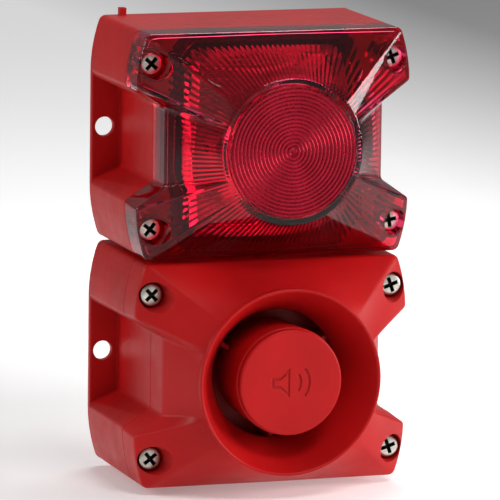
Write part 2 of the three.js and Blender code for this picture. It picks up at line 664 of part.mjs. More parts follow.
function sounderModule() {
  const group = new THREE.Group();
  addPart(group, "sounder_housing", sounderHousing(), MATERIALS.redPlastic);
  addPart(group, "sounder_gasket", gasket(), MATERIALS.rubber);
  addPart(group, "sounder_cover", sounderCover(), MATERIALS.redPlastic);
  addPart(group, "horn_flare", hornFlare(), MATERIALS.redPlastic);
  addCoverScrews(group, "cover_screw", COVER_SEAT.depth);
  addPart(group, "horn_cup", hornCup(), MATERIALS.redPlastic);
  addPart(group, "horn_throat", hornThroat(), MATERIALS.redPlastic);
  addDriver(group);

  const front = addBoard(group, "sounder", SOUNDER_BOARD);
  addPart(group, "supply_terminal", terminalBlock(0, -23, 6, front, -1), MATERIALS.greyPlastic);
  addSlideSwitches(group, "tone_switch", "tone_slider", 5, -24, 8, front);
  addVolumeTrimmer(group, -24, -8, front);
  addPart(group, "audio_transformer", block(22, 10, 20, 17, front, front + 15), MATERIALS.ferrite);
  [-1, 1].forEach((side, i) => addPart(group, `entry_plug_${i + 1}`, entryPlug(side), MATERIALS.redPlastic));
  return group;
}

// ---- What joins the modules ----

const NIPPLE = { boreR: 7.5, half: 14.8, nutFrom: 9.9, nutTo: 13.9, nutR: 13.8 };

function hexNut(side) {
  const { nutFrom, nutTo, nutR } = NIPPLE;
  const hexagon = new THREE.CylinderGeometry(nutR, nutR, nutTo - nutFrom, 6).rotateX(Math.PI / 2);
  const place = (geometry) => geometry.translate(0, -JOINT_DEPTH, (side * (nutFrom + nutTo)) / 2);
  const bore = new THREE.CylinderGeometry(M20.holeR, M20.holeR, 8, 20).rotateX(Math.PI / 2);
  return cut(place(hexagon), place(bore));
}

const CABLE_R = 2.5;

// The cable from the supply terminals up through the nipple to the strobe's terminals.
function linkCable() {
  const route = new THREE.CatmullRomCurve3([
    [0, -16, -MODULE_OFFSET - 17.8], [0, -17, -MODULE_OFFSET + 4], [0, -20, -MODULE_OFFSET + 30],
    [0, -JOINT_DEPTH, 0], [0, -20, MODULE_OFFSET - 34], [0, -19.2, MODULE_OFFSET - 27.2],
  ].map((point) => new THREE.Vector3(...point)));
  const section = new THREE.Shape().absarc(0, 0, CABLE_R, 0, Math.PI * 2);
  return new THREE.ExtrudeGeometry(section, { steps: 18, curveSegments: 4, extrudePath: route });
}

function moduleLink() {
  const group = new THREE.Group();
  const { boreR, half } = NIPPLE;
  const tube = [[boreR, -half], [M20.r, -half], [M20.r, half], [boreR, half], [boreR, -half]];
  const seal = [[M20.holeR, -0.7], [14, -0.7], [14, 0.7], [M20.holeR, 0.7], [M20.holeR, -0.7]];
  addPart(group, "link_nipple", turnedUpright(tube, 0, JOINT_DEPTH), MATERIALS.brass);
  addPart(group, "link_seal", turnedUpright(seal, 0, JOINT_DEPTH), MATERIALS.rubber);
  addPart(group, "link_nut_lower", hexNut(-1), MATERIALS.brass);
  addPart(group, "link_nut_upper", hexNut(1), MATERIALS.brass);
  addPart(group, "link_cable", linkCable(), MATERIALS.cable);
  return group;
}

const hornStrobe = new THREE.Group();
const strobe = strobeModule();
const sounder = sounderModule();
strobe.position.z = MODULE_OFFSET;
sounder.position.z = -MODULE_OFFSET;
hornStrobe.add(strobe, sounder, moduleLink());

export default hornStrobe;
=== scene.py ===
"""Horn strobe: the looks of a two-module fire alarm unit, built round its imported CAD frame.

Lengths in the code are millimetres and are turned into metres where a mesh is made. Inside a module,
a place is given by x, z from the module's centre and by its depth in front of the wall (-Y).
"""

import json
import math

import bmesh
import bpy
import numpy as np
from mathutils import Matrix, Vector

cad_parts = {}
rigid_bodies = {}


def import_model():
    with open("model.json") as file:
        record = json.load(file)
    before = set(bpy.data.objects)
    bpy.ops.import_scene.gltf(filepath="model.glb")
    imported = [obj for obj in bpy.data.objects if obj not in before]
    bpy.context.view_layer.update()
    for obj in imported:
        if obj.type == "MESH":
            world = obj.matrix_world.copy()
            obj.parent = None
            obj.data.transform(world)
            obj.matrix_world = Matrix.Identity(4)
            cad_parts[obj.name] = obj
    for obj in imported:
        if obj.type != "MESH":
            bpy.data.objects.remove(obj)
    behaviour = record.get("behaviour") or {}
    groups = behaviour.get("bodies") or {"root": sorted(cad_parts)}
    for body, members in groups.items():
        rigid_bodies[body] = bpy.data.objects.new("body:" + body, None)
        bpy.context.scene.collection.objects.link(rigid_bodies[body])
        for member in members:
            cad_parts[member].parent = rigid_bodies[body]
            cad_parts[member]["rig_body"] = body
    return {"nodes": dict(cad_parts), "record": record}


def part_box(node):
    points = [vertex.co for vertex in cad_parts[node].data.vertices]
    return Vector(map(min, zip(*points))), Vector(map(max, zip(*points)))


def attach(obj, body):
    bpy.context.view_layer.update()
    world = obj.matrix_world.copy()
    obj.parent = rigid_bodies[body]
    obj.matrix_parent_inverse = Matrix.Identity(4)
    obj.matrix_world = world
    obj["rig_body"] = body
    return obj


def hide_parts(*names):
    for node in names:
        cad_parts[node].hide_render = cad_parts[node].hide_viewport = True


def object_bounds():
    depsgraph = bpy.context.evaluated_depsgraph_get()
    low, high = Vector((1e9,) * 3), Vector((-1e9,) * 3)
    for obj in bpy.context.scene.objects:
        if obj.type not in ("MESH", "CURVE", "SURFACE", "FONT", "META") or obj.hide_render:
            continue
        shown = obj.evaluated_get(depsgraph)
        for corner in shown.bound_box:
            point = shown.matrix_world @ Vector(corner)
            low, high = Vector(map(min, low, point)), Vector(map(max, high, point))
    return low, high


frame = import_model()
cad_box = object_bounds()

MM = 0.001
RANDOM = np.random.default_rng(7)
CORNERS = [(-1, 1), (1, 1), (-1, -1), (1, -1)]


def depth_span(node):
    """The least and greatest depth of a CAD node, in millimetres."""
    low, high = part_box(node)
    return -high[1] / MM, -low[1] / MM


def centre(node):
    """The middle of a CAD node's box, in millimetres."""
    low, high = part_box(node)
    return [(a + b) / 2 / MM for a, b in zip(low, high)]


# ---- Driving dimensions, the same as the frame's ----

STROBE_Z = centre("strobe_gasket")[2]
SOUNDER_Z = centre("sounder_gasket")[2]
HALF_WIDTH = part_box("strobe_housing")[1][0] / MM
HALF_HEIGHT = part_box("strobe_lens")[1][2] / MM - STROBE_Z
COVER_BACK = depth_span("strobe_lens")[0]
SPLIT_DEPTH = depth_span("strobe_housing")[1]
LENS_FRONT = depth_span("strobe_lens")[1]
HORN_FRONT = depth_span("horn_flare")[1]
BOWL_BACK = depth_span("horn_flare")[0]
HORN_LIP_DEPTH = 79.0
EAR_DEPTH = 74.6
EAR_BULGE = 4.8
FLANGE_DEPTH = 3.4
HUB = 0.4  # how far in a skin's end faces are gathered, as a share of their radius
SETBACK = 0.6  # how far a slope's inner face lies behind the outer one, as a share of the wall
NOTCH = {"wall_x": 53.4, "inner_half": 18.5, "back_half": 24.8, "split_half": 26.8, "front_half": 28.0}
NOTCH_FILLET = 3.0
TIP_FILLET = 2.2
CORNER_FILLET = 5.0
GASKET_QUARTER = [(45.6, 16, 2.0), (42.4, 22, 4.0), (42.4, 42.5, 4.0), (36.7, 48.2, 4.0)]
HOUSING = {"wall": 3.0, "lip": 3.7, "lip_front": 55.0, "groove_half": 2.7, "groove_back": 54.0,
           "pillar_r": 6.3, "bore_back": 36, "m20_r": 10.25}
CORE = {"x": 58, "z": 41, "width": 17, "height": 26, "end": 50}
POST = {"edge_x": 5, "edge_z": 6, "r": 3.5, "hole_r": 1.6}
SLOT = {"x": 47.9, "width": 4.6, "height": 28}
FIXING = {"x": 60.6, "r": 4.6, "dish_r": 6.5}
PEG = {"x": -52, "width": 3, "height": 4.4, "depth": 4}
STROBE_HOLES = [(0, 20, -1)]  # x, depth, and 1 for the top or -1 for the bottom
SOUNDER_HOLES = [(0, 20, 1), (-24, 28, -1), (24, 28, -1)]
FOOT = {"inset": 3.0, "height": 2.4}
SCREW = {"x": 59.0, "z": 38.8, "head_r": 5.6, "head_height": 3.4, "shank_r": 3.0, "bore_r": 3.3,
         "pitch": 1.0, "groove": 0.45}
SCREW_PLACES = [(sx * SCREW["x"], sz * SCREW["z"]) for sx, sz in CORNERS]
CROSS = {"span": 8.0, "width": 1.9, "depth": 2.6, "shrink": 0.6}
LENS = {"wall": 2.6, "shoulder_r": 34.2, "shoulder": 101.5, "disc_r": 31.3}
DISC_RING = {"pitch": 1.8, "height": 0.24, "hub_r": 1.6, "margin": 1.0}
RIB = {"pitch": 3.0, "height": 0.5}
HORN = {"wall": 3.0, "shoulder_r": 44.0, "shoulder": 100.5, "mouth_r": 43.0, "rim_r": 44.3,
        "neck_r": 43.0, "neck_back": 98.5, "bowl_r": 32.0, "lip_r": 30.5, "bowl_wall": 2.8}
RECESS_TURN = (46, 14)  # degrees, left and right
LENS_SEAT = {"depth": 67.5, "bore_r": 6.1, "front_r": 6.6, "boss_r": 7.6}
COVER_SEAT = {"depth": 71.5, "bore_r": 6.0, "front_r": 7.6, "boss_r": 9.4}
WELL_FRONT = 86  # the depth at which a well has its seat's front_r
WELL_END = 100
CUP = {"r": 25.5, "step_r": 24.4, "face_r": 25.0, "inner_r": 23.1, "back": 68,
       "web_half": 1.2, "web_front": 76}
REFLECTOR = {"half_x": 38.0, "half_z": 43.6, "floor_x": 32.0, "floor_z": 38.0, "floor": 46.0, "sheet": 1.2,
             "skin": 0.9, "foot_x": 24.5, "foot_z": 33.0, "foot_r": 2.4, "post_x": 22.0}
TUBE_DEPTH = 60
CHIP_PITCH = 1.27
TERMINAL_PITCH = 5.08


# ---- Meshes ----

def make_object(name, vertices, faces, materials=()):
    """A mesh object from vertices in metres, with its faces turned outwards."""
    mesh = bpy.data.meshes.new(name)
    mesh.from_pydata([tuple(v) for v in vertices], [], faces)
    obj = bpy.data.objects.new(name, mesh)
    bpy.context.scene.collection.objects.link(obj)
    solid = bmesh.new()
    solid.from_mesh(mesh)
    bmesh.ops.recalc_face_normals(solid, faces=solid.faces)
    solid.to_mesh(mesh)
    solid.free()
    for material in materials:
        mesh.materials.append(material)
    return obj


def shade(obj, degrees=32):
    """Smooth shading, with edges sharper than the angle kept crisp."""
    mesh = obj.data
    mesh.polygons.foreach_set("use_smooth", [True] * len(mesh.polygons))
    mesh.set_sharp_from_angle(angle=math.radians(degrees))
    return obj


def apply_modifiers(obj):
    graph = bpy.context.evaluated_depsgraph_get()
    mesh = bpy.data.meshes.new_from_object(obj.evaluated_get(graph))
    obj.modifiers.clear()
    obj.data = mesh
    return obj


def combine(base, tools, operation):
    """The base joined with, cut by or clipped to the tools, which are used up."""
    for tool in tools:
        modifier = base.modifiers.new("combine", "BOOLEAN")
        modifier.operation = operation
        modifier.solver = "MANIFOLD"
        modifier.object = tool
    apply_modifiers(base)
    for tool in tools:
        bpy.data.objects.remove(tool)
    return base


def soften(obj, width=0.25, segments=2, angle=35):
    """Rounded edges for a piece whose faces meet sharply."""
    bevel = obj.modifiers.new("edges", "BEVEL")
    bevel.width = width * MM
    bevel.segments = segments
    bevel.limit_method = "ANGLE"
    bevel.angle_limit = math.radians(angle)
    bevel.harden_normals = False
    return obj


# ---- Outlines round a module: radius as a function of the angle ----

def column_angles():
    """Angles of the mesh columns, denser at the notches and the corners. A rib takes four of them."""
    steps = [np.arange(0, 90.01, 0.75), np.arange(14, 25, 0.2), np.arange(35, 46, 0.3)]
    quarter = np.unique(np.round(np.concatenate(steps), 3))
    full = np.concatenate([quarter, 180 - quarter, 180 + quarter, 360 - quarter]) % 360
    return np.radians(np.unique(np.round(full, 3)))


ANGLES = column_angles()


def ear_edge(z):
    share = max(0.0, (z - NOTCH["split_half"]) / (HALF_HEIGHT - NOTCH["split_half"]))
    return HALF_WIDTH - EAR_BULGE * share**2


def mirrored(quarter):
    """A quarter outline of (x, z, fillet) in all four quarters, anticlockwise."""
    def flip(points, sx, sz):
        return [(x * sx, z * sz, r) for x, z, r in points]

    back = quarter[::-1]
    return flip(back, 1, -1) + list(quarter) + flip(back, -1, 1) + flip(quarter, -1, -1)


def ear_outline(start, start_fillet):
    """The side of an ear, from a height above the module's middle up to its corner."""
    heights = np.linspace(start, HALF_HEIGHT, 6)
    fillets = [start_fillet, 0.0, 0.0, 0.0, 0.0, CORNER_FILLET]
    return [(ear_edge(z), z, fillet) for z, fillet in zip(heights, fillets)]


def notched_outline(notch_half):
    notch = (NOTCH["wall_x"], NOTCH["inner_half"], NOTCH_FILLET)
    return mirrored([notch] + ear_outline(notch_half, TIP_FILLET))


def plain_outline():
    """The flange's outline, which runs straight past the notches."""
    return mirrored(ear_outline(NOTCH["split_half"], 0.0))


def gasket_outline():
    return mirrored(GASKET_QUARTER)


def inset(points, distance):
    """The outline moved inwards. Outer fillets shrink by the distance, and inner ones grow."""
    corners = np.array([p[:2] for p in points], dtype=float)
    ahead = np.roll(corners, -1, axis=0) - corners
    ahead /= np.linalg.norm(ahead, axis=1)[:, None]
    behind = np.roll(ahead, 1, axis=0)
    normal_a = np.stack([-behind[:, 1], behind[:, 0]], axis=1)
    normal_b = np.stack([-ahead[:, 1], ahead[:, 0]], axis=1)
    scale = distance / (1 + (normal_a * normal_b).sum(axis=1))
    moved = corners + (normal_a + normal_b) * scale[:, None]
    turn = behind[:, 0] * ahead[:, 1] - behind[:, 1] * ahead[:, 0]
    result = []
    for (x, z), (_, _, r), way in zip(moved, points, turn):
        fillet = 0.0 if r == 0 else max(0.5, r - distance if way > 0 else r + distance)
        result.append((x, z, fillet))
    return result


def filleted(points, steps=10):
    """The outline as a dense polyline, with an arc in place of each corner that has a fillet."""
    corners = np.array([p[:2] for p in points], dtype=float)
    dense = []
    for i, (_, _, r) in enumerate(points):
        corner, before, after = corners[i], corners[i - 1], corners[(i + 1) % len(points)]
        if r == 0:
            dense.append(corner)
            continue
        a, b = (before - corner), (after - corner)
        la, lb = np.linalg.norm(a), np.linalg.norm(b)
        half = 0.5 * math.acos(np.clip(-(a @ b) / (la * lb), -1, 1))
        reach = min(r * math.tan(half), 0.48 * la, 0.48 * lb)
        start, end = corner + a / la * reach, corner + b / lb * reach
        for t in np.linspace(0, 1, steps + 1):
            weight = math.cos(half)
            w = [(1 - t) ** 2, 2 * t * (1 - t) * weight, t**2]
            dense.append((w[0] * start + w[1] * corner + w[2] * end) / sum(w))
    return np.array(dense)


def radius_of(points):
    """The outline's radius at each column angle."""
    dense = filleted(points)
    a, b = dense, np.roll(dense, -1, axis=0)
    start = np.arctan2(a[:, 1], a[:, 0])
    turn = (np.arctan2(b[:, 1], b[:, 0]) - start + math.pi) % (2 * math.pi) - math.pi
    radii = np.zeros(len(ANGLES))
    for i, angle in enumerate(ANGLES):
        gap = (angle - start + 1e-9) % (2 * math.pi)
        k = int(np.argmin(np.where(gap <= turn + 2e-9, gap, 99)))
        d = b[k] - a[k]
        u = (math.cos(angle), math.sin(angle))
        radii[i] = (a[k][0] * d[1] - a[k][1] * d[0]) / (u[0] * d[1] - u[1] * d[0])
    return radii


def ring(radius, depth):
    """A ring of columns: radius and depth at each column angle."""
    count = len(ANGLES)
    return np.stack([np.broadcast_to(radius, count), np.broadcast_to(depth, count)]).astype(float)


def corner_arc(before, spot, after, reach, limit):
    """The points that round a corner over its reach, or over a limited share of each side."""
    start, end = (spot + (other - spot) * np.minimum(
        reach / np.maximum(np.linalg.norm(other - spot, axis=0), 1e-6), limit) for other in (before, after))
    return [(1 - t) ** 2 * start + 2 * t * (1 - t) * spot + t**2 * end for t in np.linspace(0, 1, 6)]


def rings_through(stations, closed):
    """Rings along a profile of (ring, reach, cuts) stations.

    A corner is rounded over its reach, and cuts more rings divide the stretch after it.
    """
    count = len(stations)
    spots = [s[0] for s in stations]
    arcs = []
    for i, (spot, reach, _) in enumerate(stations):
        sharp = reach == 0 or (not closed and i in (0, count - 1))
        arcs.append([spot] if sharp else corner_arc(spots[i - 1], spot, spots[(i + 1) % count], reach, 0.45))
    result = []
    for i, (_, _, cuts) in enumerate(stations):
        result.extend(arcs[i])
        if i == count - 1 and not closed:
            break
        last, following = arcs[i][-1], arcs[(i + 1) % count][0]
        result.extend(last + (following - last) * (k + 1) / (cuts + 1) for k in range(cuts))
    return result


def tube_faces(total, count, wrap):
    """Quads between total loops of count vertices each. With wrap, the last loop joins the first."""
    return [(s * count + i, s * count + (i + 1) % count,
             (s + 1) % total * count + (i + 1) % count, (s + 1) % total * count + i)
            for s in range(total if wrap else total - 1) for i in range(count)]


def skin(name, stations, module_z, closed):
    """A solid through rings: a tube that bites its tail, or an open one with a cap at each end."""
    rings = np.array(rings_through(stations, closed))
    total, count = len(rings), rings.shape[2]
    x = rings[:, 0] * np.cos(ANGLES)
    z = rings[:, 0] * np.sin(ANGLES) + module_z
    vertices = (np.stack([x, -rings[:, 1], z], axis=2).reshape(-1, 3) * MM).tolist()
    faces = tube_faces(total, count, wrap=closed)
    if not closed:
        for row in (0, total - 1):
            vertices.append((0, -rings[row, 1].mean() * MM, module_z * MM))
            hub = len(vertices) - 1
            faces.extend((row * count + i, row * count + (i + 1) % count, hub) for i in range(count))
    return make_object(name, vertices, faces)


def capped_skin(name, stations, module_z):
    """A skin whose end faces run in to a hub, level with its first and last stations."""
    first, last = stations[0][0].copy(), stations[-1][0].copy()
    first[0] *= HUB
    last[0] *= HUB
    return skin(name, [(first, 0, 0)] + stations + [(last, 0, 0)], module_z, closed=False)


# ---- Turned pieces and prisms ----

def turned(name, profile, x=0.0, module_z=0.0, segments=96):
    """A solid turned about the depth axis from (radius, depth, reach) points.

    A profile starts and ends on the axis, or else closes on itself.
    """
    loop = profile[0][0] > 1e-6
    vertices, rows = [], []
    for r, depth in rounded(profile, loop):
        if r < 1e-6:
            rows.append([len(vertices)] * segments)
            vertices.append((x * MM, -depth * MM, module_z * MM))
            continue
        rows.append(list(range(len(vertices), len(vertices) + segments)))
        for k in range(segments):
            angle = 2 * math.pi * k / segments
            px, pz = x + r * math.cos(angle), module_z + r * math.sin(angle)
            vertices.append((px * MM, -depth * MM, pz * MM))
    faces = []
    for s in range(len(rows) if loop else len(rows) - 1):
        a, b = rows[s], rows[(s + 1) % len(rows)]
        for k in range(segments):
            m = (k + 1) % segments
            corner = list(dict.fromkeys((a[k], a[m], b[m], b[k])))
            if len(corner) > 2:
                faces.append(corner)
    return make_object(name, vertices, faces)


def rounded(profile, closed):
    """A profile of (radius, depth, reach) points with its corners rounded over their reach."""
    spots = np.array([point[:2] for point in profile], dtype=float)
    count = len(profile)
    result = []
    for i, (_, _, reach) in enumerate(profile):
        if reach == 0 or (not closed and i in (0, count - 1)):
            result.append(spots[i])
        else:
            result.extend(corner_arc(spots[i - 1], spots[i], spots[(i + 1) % count], reach, 0.49))
    return [(float(r), float(depth)) for r, depth in result]


def prism(name, points, start, end, module_z=0.0):
    """A polygon of (x, z) points as a solid between two depths."""
    count = len(points)
    rows = [[(x * MM, -depth * MM, (z + module_z) * MM) for x, z in points] for depth in (start, end)]
    faces = [(i, (i + 1) % count, count + (i + 1) % count, count + i) for i in range(count)]
    faces += [tuple(range(count)), tuple(range(2 * count - 1, count - 1, -1))]
    return make_object(name, rows[0] + rows[1], faces)


def block(name, x, z, width, height, start, end, module_z=0.0):
    corners = [(x - width / 2, z - height / 2), (x + width / 2, z - height / 2),
               (x + width / 2, z + height / 2), (x - width / 2, z + height / 2)]
    return prism(name, corners, start, end, module_z)


def disc(name, x, z, r, start, end, module_z=0.0, front_r=None, segments=64):
    profile = [(0, start, 0), (r, start, 0), (front_r or r, end, 0), (0, end, 0)]
    return turned(name, profile, x, z + module_z, segments)


# ---- Housings ----

def housing_solid(name, module_z, board_node, m20_holes):
    """A housing with its wall flange, gasket groove, cored ears and holes."""
    back = radius_of(notched_outline(NOTCH["back_half"]))
    front = radius_of(notched_outline(NOTCH["split_half"]))
    body = capped_skin(name, [(ring(back, 0.0), 0.5, 0), (ring(front, SPLIT_DEPTH), 0.5, 0)], module_z)
    edge = radius_of(plain_outline())
    flange = capped_skin("flange", [(ring(edge, 0.0), 0.5, 0), (ring(edge, FLANGE_DEPTH), 0.8, 0)], module_z)
    combine(body, [flange], "UNION")
    combine(body, chamber_tools(module_z) + ear_cores(module_z), "DIFFERENCE")

    wall = HOUSING["wall"]
    board_back = depth_span(board_node)[0]
    low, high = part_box(board_node)
    post_x, post_z = high[0] / MM - POST["edge_x"], (high[2] - low[2]) / 2 / MM - POST["edge_z"]
    places = [(sx * post_x, sz * post_z) for sx, sz in CORNERS]
    combine(body, [disc("post", x, z, POST["r"], wall - 1, board_back - 0.3, module_z, segments=32)
                   for x, z in places], "UNION")

    holes = []
    width, height, end = SLOT["width"], SLOT["height"], CORE["end"]
    for side in (-1, 1):
        holes.append(block("slot", side * SLOT["x"], 0, width, height, -1, end, module_z))
        holes.append(turned("fixing", [
            (0, -1, 0), (FIXING["r"], -1, 0), (FIXING["r"], FLANGE_DEPTH, 0.6),
            (FIXING["dish_r"], FLANGE_DEPTH + 0.001, 0), (FIXING["dish_r"], FLANGE_DEPTH + 1, 0),
            (0, FLANGE_DEPTH + 1, 0),
        ], side * FIXING["x"], module_z, 64))
    for screw_place, (x, z) in zip(SCREW_PLACES, places):
        holes.append(disc("bore", *screw_place, SCREW["bore_r"], HOUSING["bore_back"], SPLIT_DEPTH + 1,
                          module_z))
        holes.append(disc("bore", x, z, POST["hole_r"], wall + 2, board_back, module_z, segments=24))
    for x, depth, way in m20_holes:
        through = disc("m20", 0, 0, HOUSING["m20_r"], 0, 20)
        holes.append(stood_up(through, x, depth, module_z + (40 if way > 0 else -60)))
    return combine(body, holes, "DIFFERENCE")


def chamber_tools(module_z):
    """What is cut from a housing's front: the gasket's groove, the chamber and the lip's top."""
    def tool(name, offset, start, past):
        return prism(name, filleted(inset(gasket_outline(), offset)), start, SPLIT_DEPTH + past, module_z)

    half, back = HOUSING["groove_half"], HOUSING["groove_back"]
    groove = combine(tool("groove", -half, back, 1), [tool("core", half, back - 1, 2)], "DIFFERENCE")
    return [groove, tool("chamber", HOUSING["lip"], HOUSING["wall"], 1),
            tool("over_lip", half - 0.1, HOUSING["lip_front"], 1)]


def ear_cores(module_z):
    """The pockets behind the ears, open at the back, round the pillars that take the screws."""
    inside = filleted(inset(notched_outline(NOTCH["back_half"]), HOUSING["wall"]))
    width, height, end = CORE["width"], CORE["height"], CORE["end"]
    cores = []
    for (sx, sz), (x, z) in zip(CORNERS, SCREW_PLACES):
        core = block("core", sx * CORE["x"], sz * CORE["z"], width, height, -2, end, module_z)
        combine(core, [prism("inside", inside, -1, end, module_z)], "INTERSECT")
        pillar = disc("pillar", x, z, HOUSING["pillar_r"], -3, end + 2, module_z)
        cores.append(combine(core, [pillar], "DIFFERENCE"))
    return cores


# ---- Covers ----

def cover_rings(wall):
    """The named rings of a cover's rim and ears, outside and inside, with its foot flange."""
    split = notched_outline(NOTCH["split_half"])
    front = notched_outline(NOTCH["front_half"])
    foot = radius_of(inset(gasket_outline(), FOOT["inset"]))
    foot_front = COVER_BACK + FOOT["height"]
    return {
        "rim": ring(radius_of(split), COVER_BACK),
        "ear": ring(radius_of(front), EAR_DEPTH),
        "inner_ear": ring(radius_of(inset(front, wall)), EAR_DEPTH - SETBACK * wall),
        "inner_rim": ring(radius_of(inset(split, wall)), foot_front),
        "foot_front": ring(foot, foot_front),
        "foot_back": ring(foot, COVER_BACK),
    }


def mid_wall_solid(wall, shoulder_r, shoulder, module_z):
    """A solid whose surface runs in the middle of a cover's wall, which clips what is joined to it."""
    half = wall / 2
    split = radius_of(inset(notched_outline(NOTCH["split_half"]), half))
    front = radius_of(inset(notched_outline(NOTCH["front_half"]), half))
    return capped_skin("clip", [
        (ring(split, COVER_BACK), 0, 1), (ring(front, EAR_DEPTH - SETBACK * half), 0, 6),
        (ring(shoulder_r - half, shoulder - SETBACK * half), 0, 0),
    ], module_z)


def add_screw_places(cover, seat, wall, shoulder_r, shoulder, module_z):
    """Screw bosses joined inside a cover, and the wells that the screws sit in."""
    bosses = [disc("boss", x, z, seat["boss_r"], COVER_BACK, WELL_END, module_z) for x, z in SCREW_PLACES]
    bosses = combine(bosses[0], bosses[1:], "UNION")
    combine(bosses, [mid_wall_solid(wall, shoulder_r, shoulder, module_z)], "INTERSECT")
    combine(cover, [bosses], "UNION")
    slope = (seat["front_r"] - seat["bore_r"]) / (WELL_FRONT - seat["depth"])
    end_r = seat["bore_r"] + slope * (WELL_END - seat["depth"])
    wells = []
    for x, z in SCREW_PLACES:
        wells.append(disc("well", x, z, seat["bore_r"], seat["depth"], WELL_END, module_z, end_r))
        wells.append(disc("bore", x, z, SCREW["bore_r"], COVER_BACK - 1, seat["depth"] + 1, module_z))
    return combine(cover, wells, "DIFFERENCE")


def rib_wave():
    """A triangular wave round the module, 0 between the ribs and 1 on their crests."""
    share = (np.degrees(ANGLES) / RIB["pitch"]) % 1.0
    return 1 - np.abs(2 * share - 1)


def ringed_disc():
    """Stations across the disc's front: low round rings about a small hub, inside a plain margin."""
    pitch, height, hub_r = DISC_RING["pitch"], DISC_RING["height"], DISC_RING["hub_r"]
    outer = LENS["disc_r"] - DISC_RING["margin"]
    count = round((outer - hub_r) / pitch)
    stations = [(ring(0.5, LENS_FRONT - 0.2), 0, 0), (ring(hub_r - 0.2, LENS_FRONT - 0.12), 0, 0)]
    for k in range(count):
        for share in (0.0, 0.18, 0.36, 0.5, 0.64, 0.82):
            r = hub_r + (outer - hub_r) * (k + share) / count
            stations.append((ring(r, LENS_FRONT - height * (2 * share - 1) ** 2), 0, 0))
    stations.append((ring(outer, LENS_FRONT - height), 0, 0))
    return stations + [(ring(outer + 0.15, LENS_FRONT - 0.02), 0, 0)]


def strobe_lens():
    """The lens: a sloping shell ribbed inside, with a ringed disc in front."""
    wall, shoulder_r, shoulder, disc_r = LENS["wall"], LENS["shoulder_r"], LENS["shoulder"], LENS["disc_r"]
    edge = cover_rings(wall)
    inner_shoulder = ring(shoulder_r - wall, shoulder - SETBACK * wall)
    stations = ringed_disc() + [
        (ring(disc_r, LENS_FRONT), 0.4, 0),
        (ring(disc_r + 0.15, shoulder), 0.2, 0), (ring(shoulder_r, shoulder), 0.9, 14),
        (edge["ear"], 1.1, 3), (edge["rim"], 0.35, 0), (edge["foot_back"], 0.3, 0),
        (edge["foot_front"], 0.4, 0), (edge["inner_rim"], 0.6, 2), (edge["inner_ear"], 0.9, 0),
    ]
    crest = RIB["height"] * rib_wave()
    for t in np.linspace(0.05, 0.97, 14):
        spot = edge["inner_ear"] + (inner_shoulder - edge["inner_ear"]) * t
        spot[1] -= crest * min(1.0, t * 4, (1 - t) * 8)
        stations.append((spot, 0, 0))
    base = shoulder - 0.6
    stations += [(inner_shoulder, 0.3, 0), (ring(disc_r - 1.0, base), 0, 4), (ring(0.4, base), 0, 0)]
    lens = skin("lens_shell", stations, STROBE_Z, closed=False)
    return add_screw_places(lens, LENS_SEAT, wall, shoulder_r, shoulder, STROBE_Z)


def flare_radius(depth):
    """The horn's radius at a depth between its lip and its mouth."""
    share = (depth - HORN_LIP_DEPTH) / (HORN_FRONT - HORN_LIP_DEPTH)
    return HORN["lip_r"] + (HORN["mouth_r"] - HORN["lip_r"]) * share**1.17


def sounder_cover():
    """The horn cover: a sloping shell with a round hole that the horn's neck passes through."""
    wall, shoulder_r, shoulder = HORN["wall"], HORN["shoulder_r"], HORN["shoulder"]
    edge = cover_rings(wall)
    hole_r = HORN["neck_r"] + 0.3
    inner_r, inner_shoulder = shoulder_r - wall, shoulder - SETBACK * wall
    share = (edge["inner_ear"][0] - hole_r) / (edge["inner_ear"][0] - inner_r)
    hole_back = edge["inner_ear"][1] + (inner_shoulder - edge["inner_ear"][1]) * share
    stations = [
        (edge["rim"], 0.35, 3), (edge["ear"], 1.6, 14), (ring(shoulder_r, shoulder), 0.2, 0),
        (ring(hole_r, shoulder), 0.2, 0), (ring(hole_r, hole_back), 0.2, 6),
        (edge["inner_ear"], 0.9, 2), (edge["inner_rim"], 0.6, 0),
        (edge["foot_front"], 0.4, 0), (edge["foot_back"], 0.3, 0),
    ]
    cover = skin("horn_shell", stations, SOUNDER_Z, closed=True)
    return add_screw_places(cover, COVER_SEAT, wall, shoulder_r, shoulder, SOUNDER_Z)


def horn_flare():
    """The flare with its rolled rim, and the bowl behind its lip."""
    rim_back = HORN["shoulder"] + 0.3
    outer_bowl = HORN["bowl_r"] + HORN["bowl_wall"]
    depths = np.linspace(HORN_LIP_DEPTH + 1.2, HORN_FRONT - 1.4, 22)
    flare = [(flare_radius(depth), depth, 0) for depth in depths]
    return turned("horn_bell", [
        (HORN["bowl_r"], BOWL_BACK, 0.4), (HORN["bowl_r"], HORN_LIP_DEPTH - 1.6, 0.5),
        (HORN["lip_r"], HORN_LIP_DEPTH - 1.6, 0.4), (HORN["lip_r"], HORN_LIP_DEPTH, 0.5), *flare,
        (HORN["mouth_r"], HORN_FRONT, 0.65), (HORN["rim_r"], HORN_FRONT, 0.65),
        (HORN["rim_r"], rim_back, 0.3), (HORN["neck_r"], rim_back, 0.2),
        (HORN["neck_r"], HORN["neck_back"], 0.5), (outer_bowl, HORN_LIP_DEPTH + 2, 1.5),
        (outer_bowl, BOWL_BACK, 0.4),
    ], 0, SOUNDER_Z, 192)


# ---- Screws, cup and seals ----

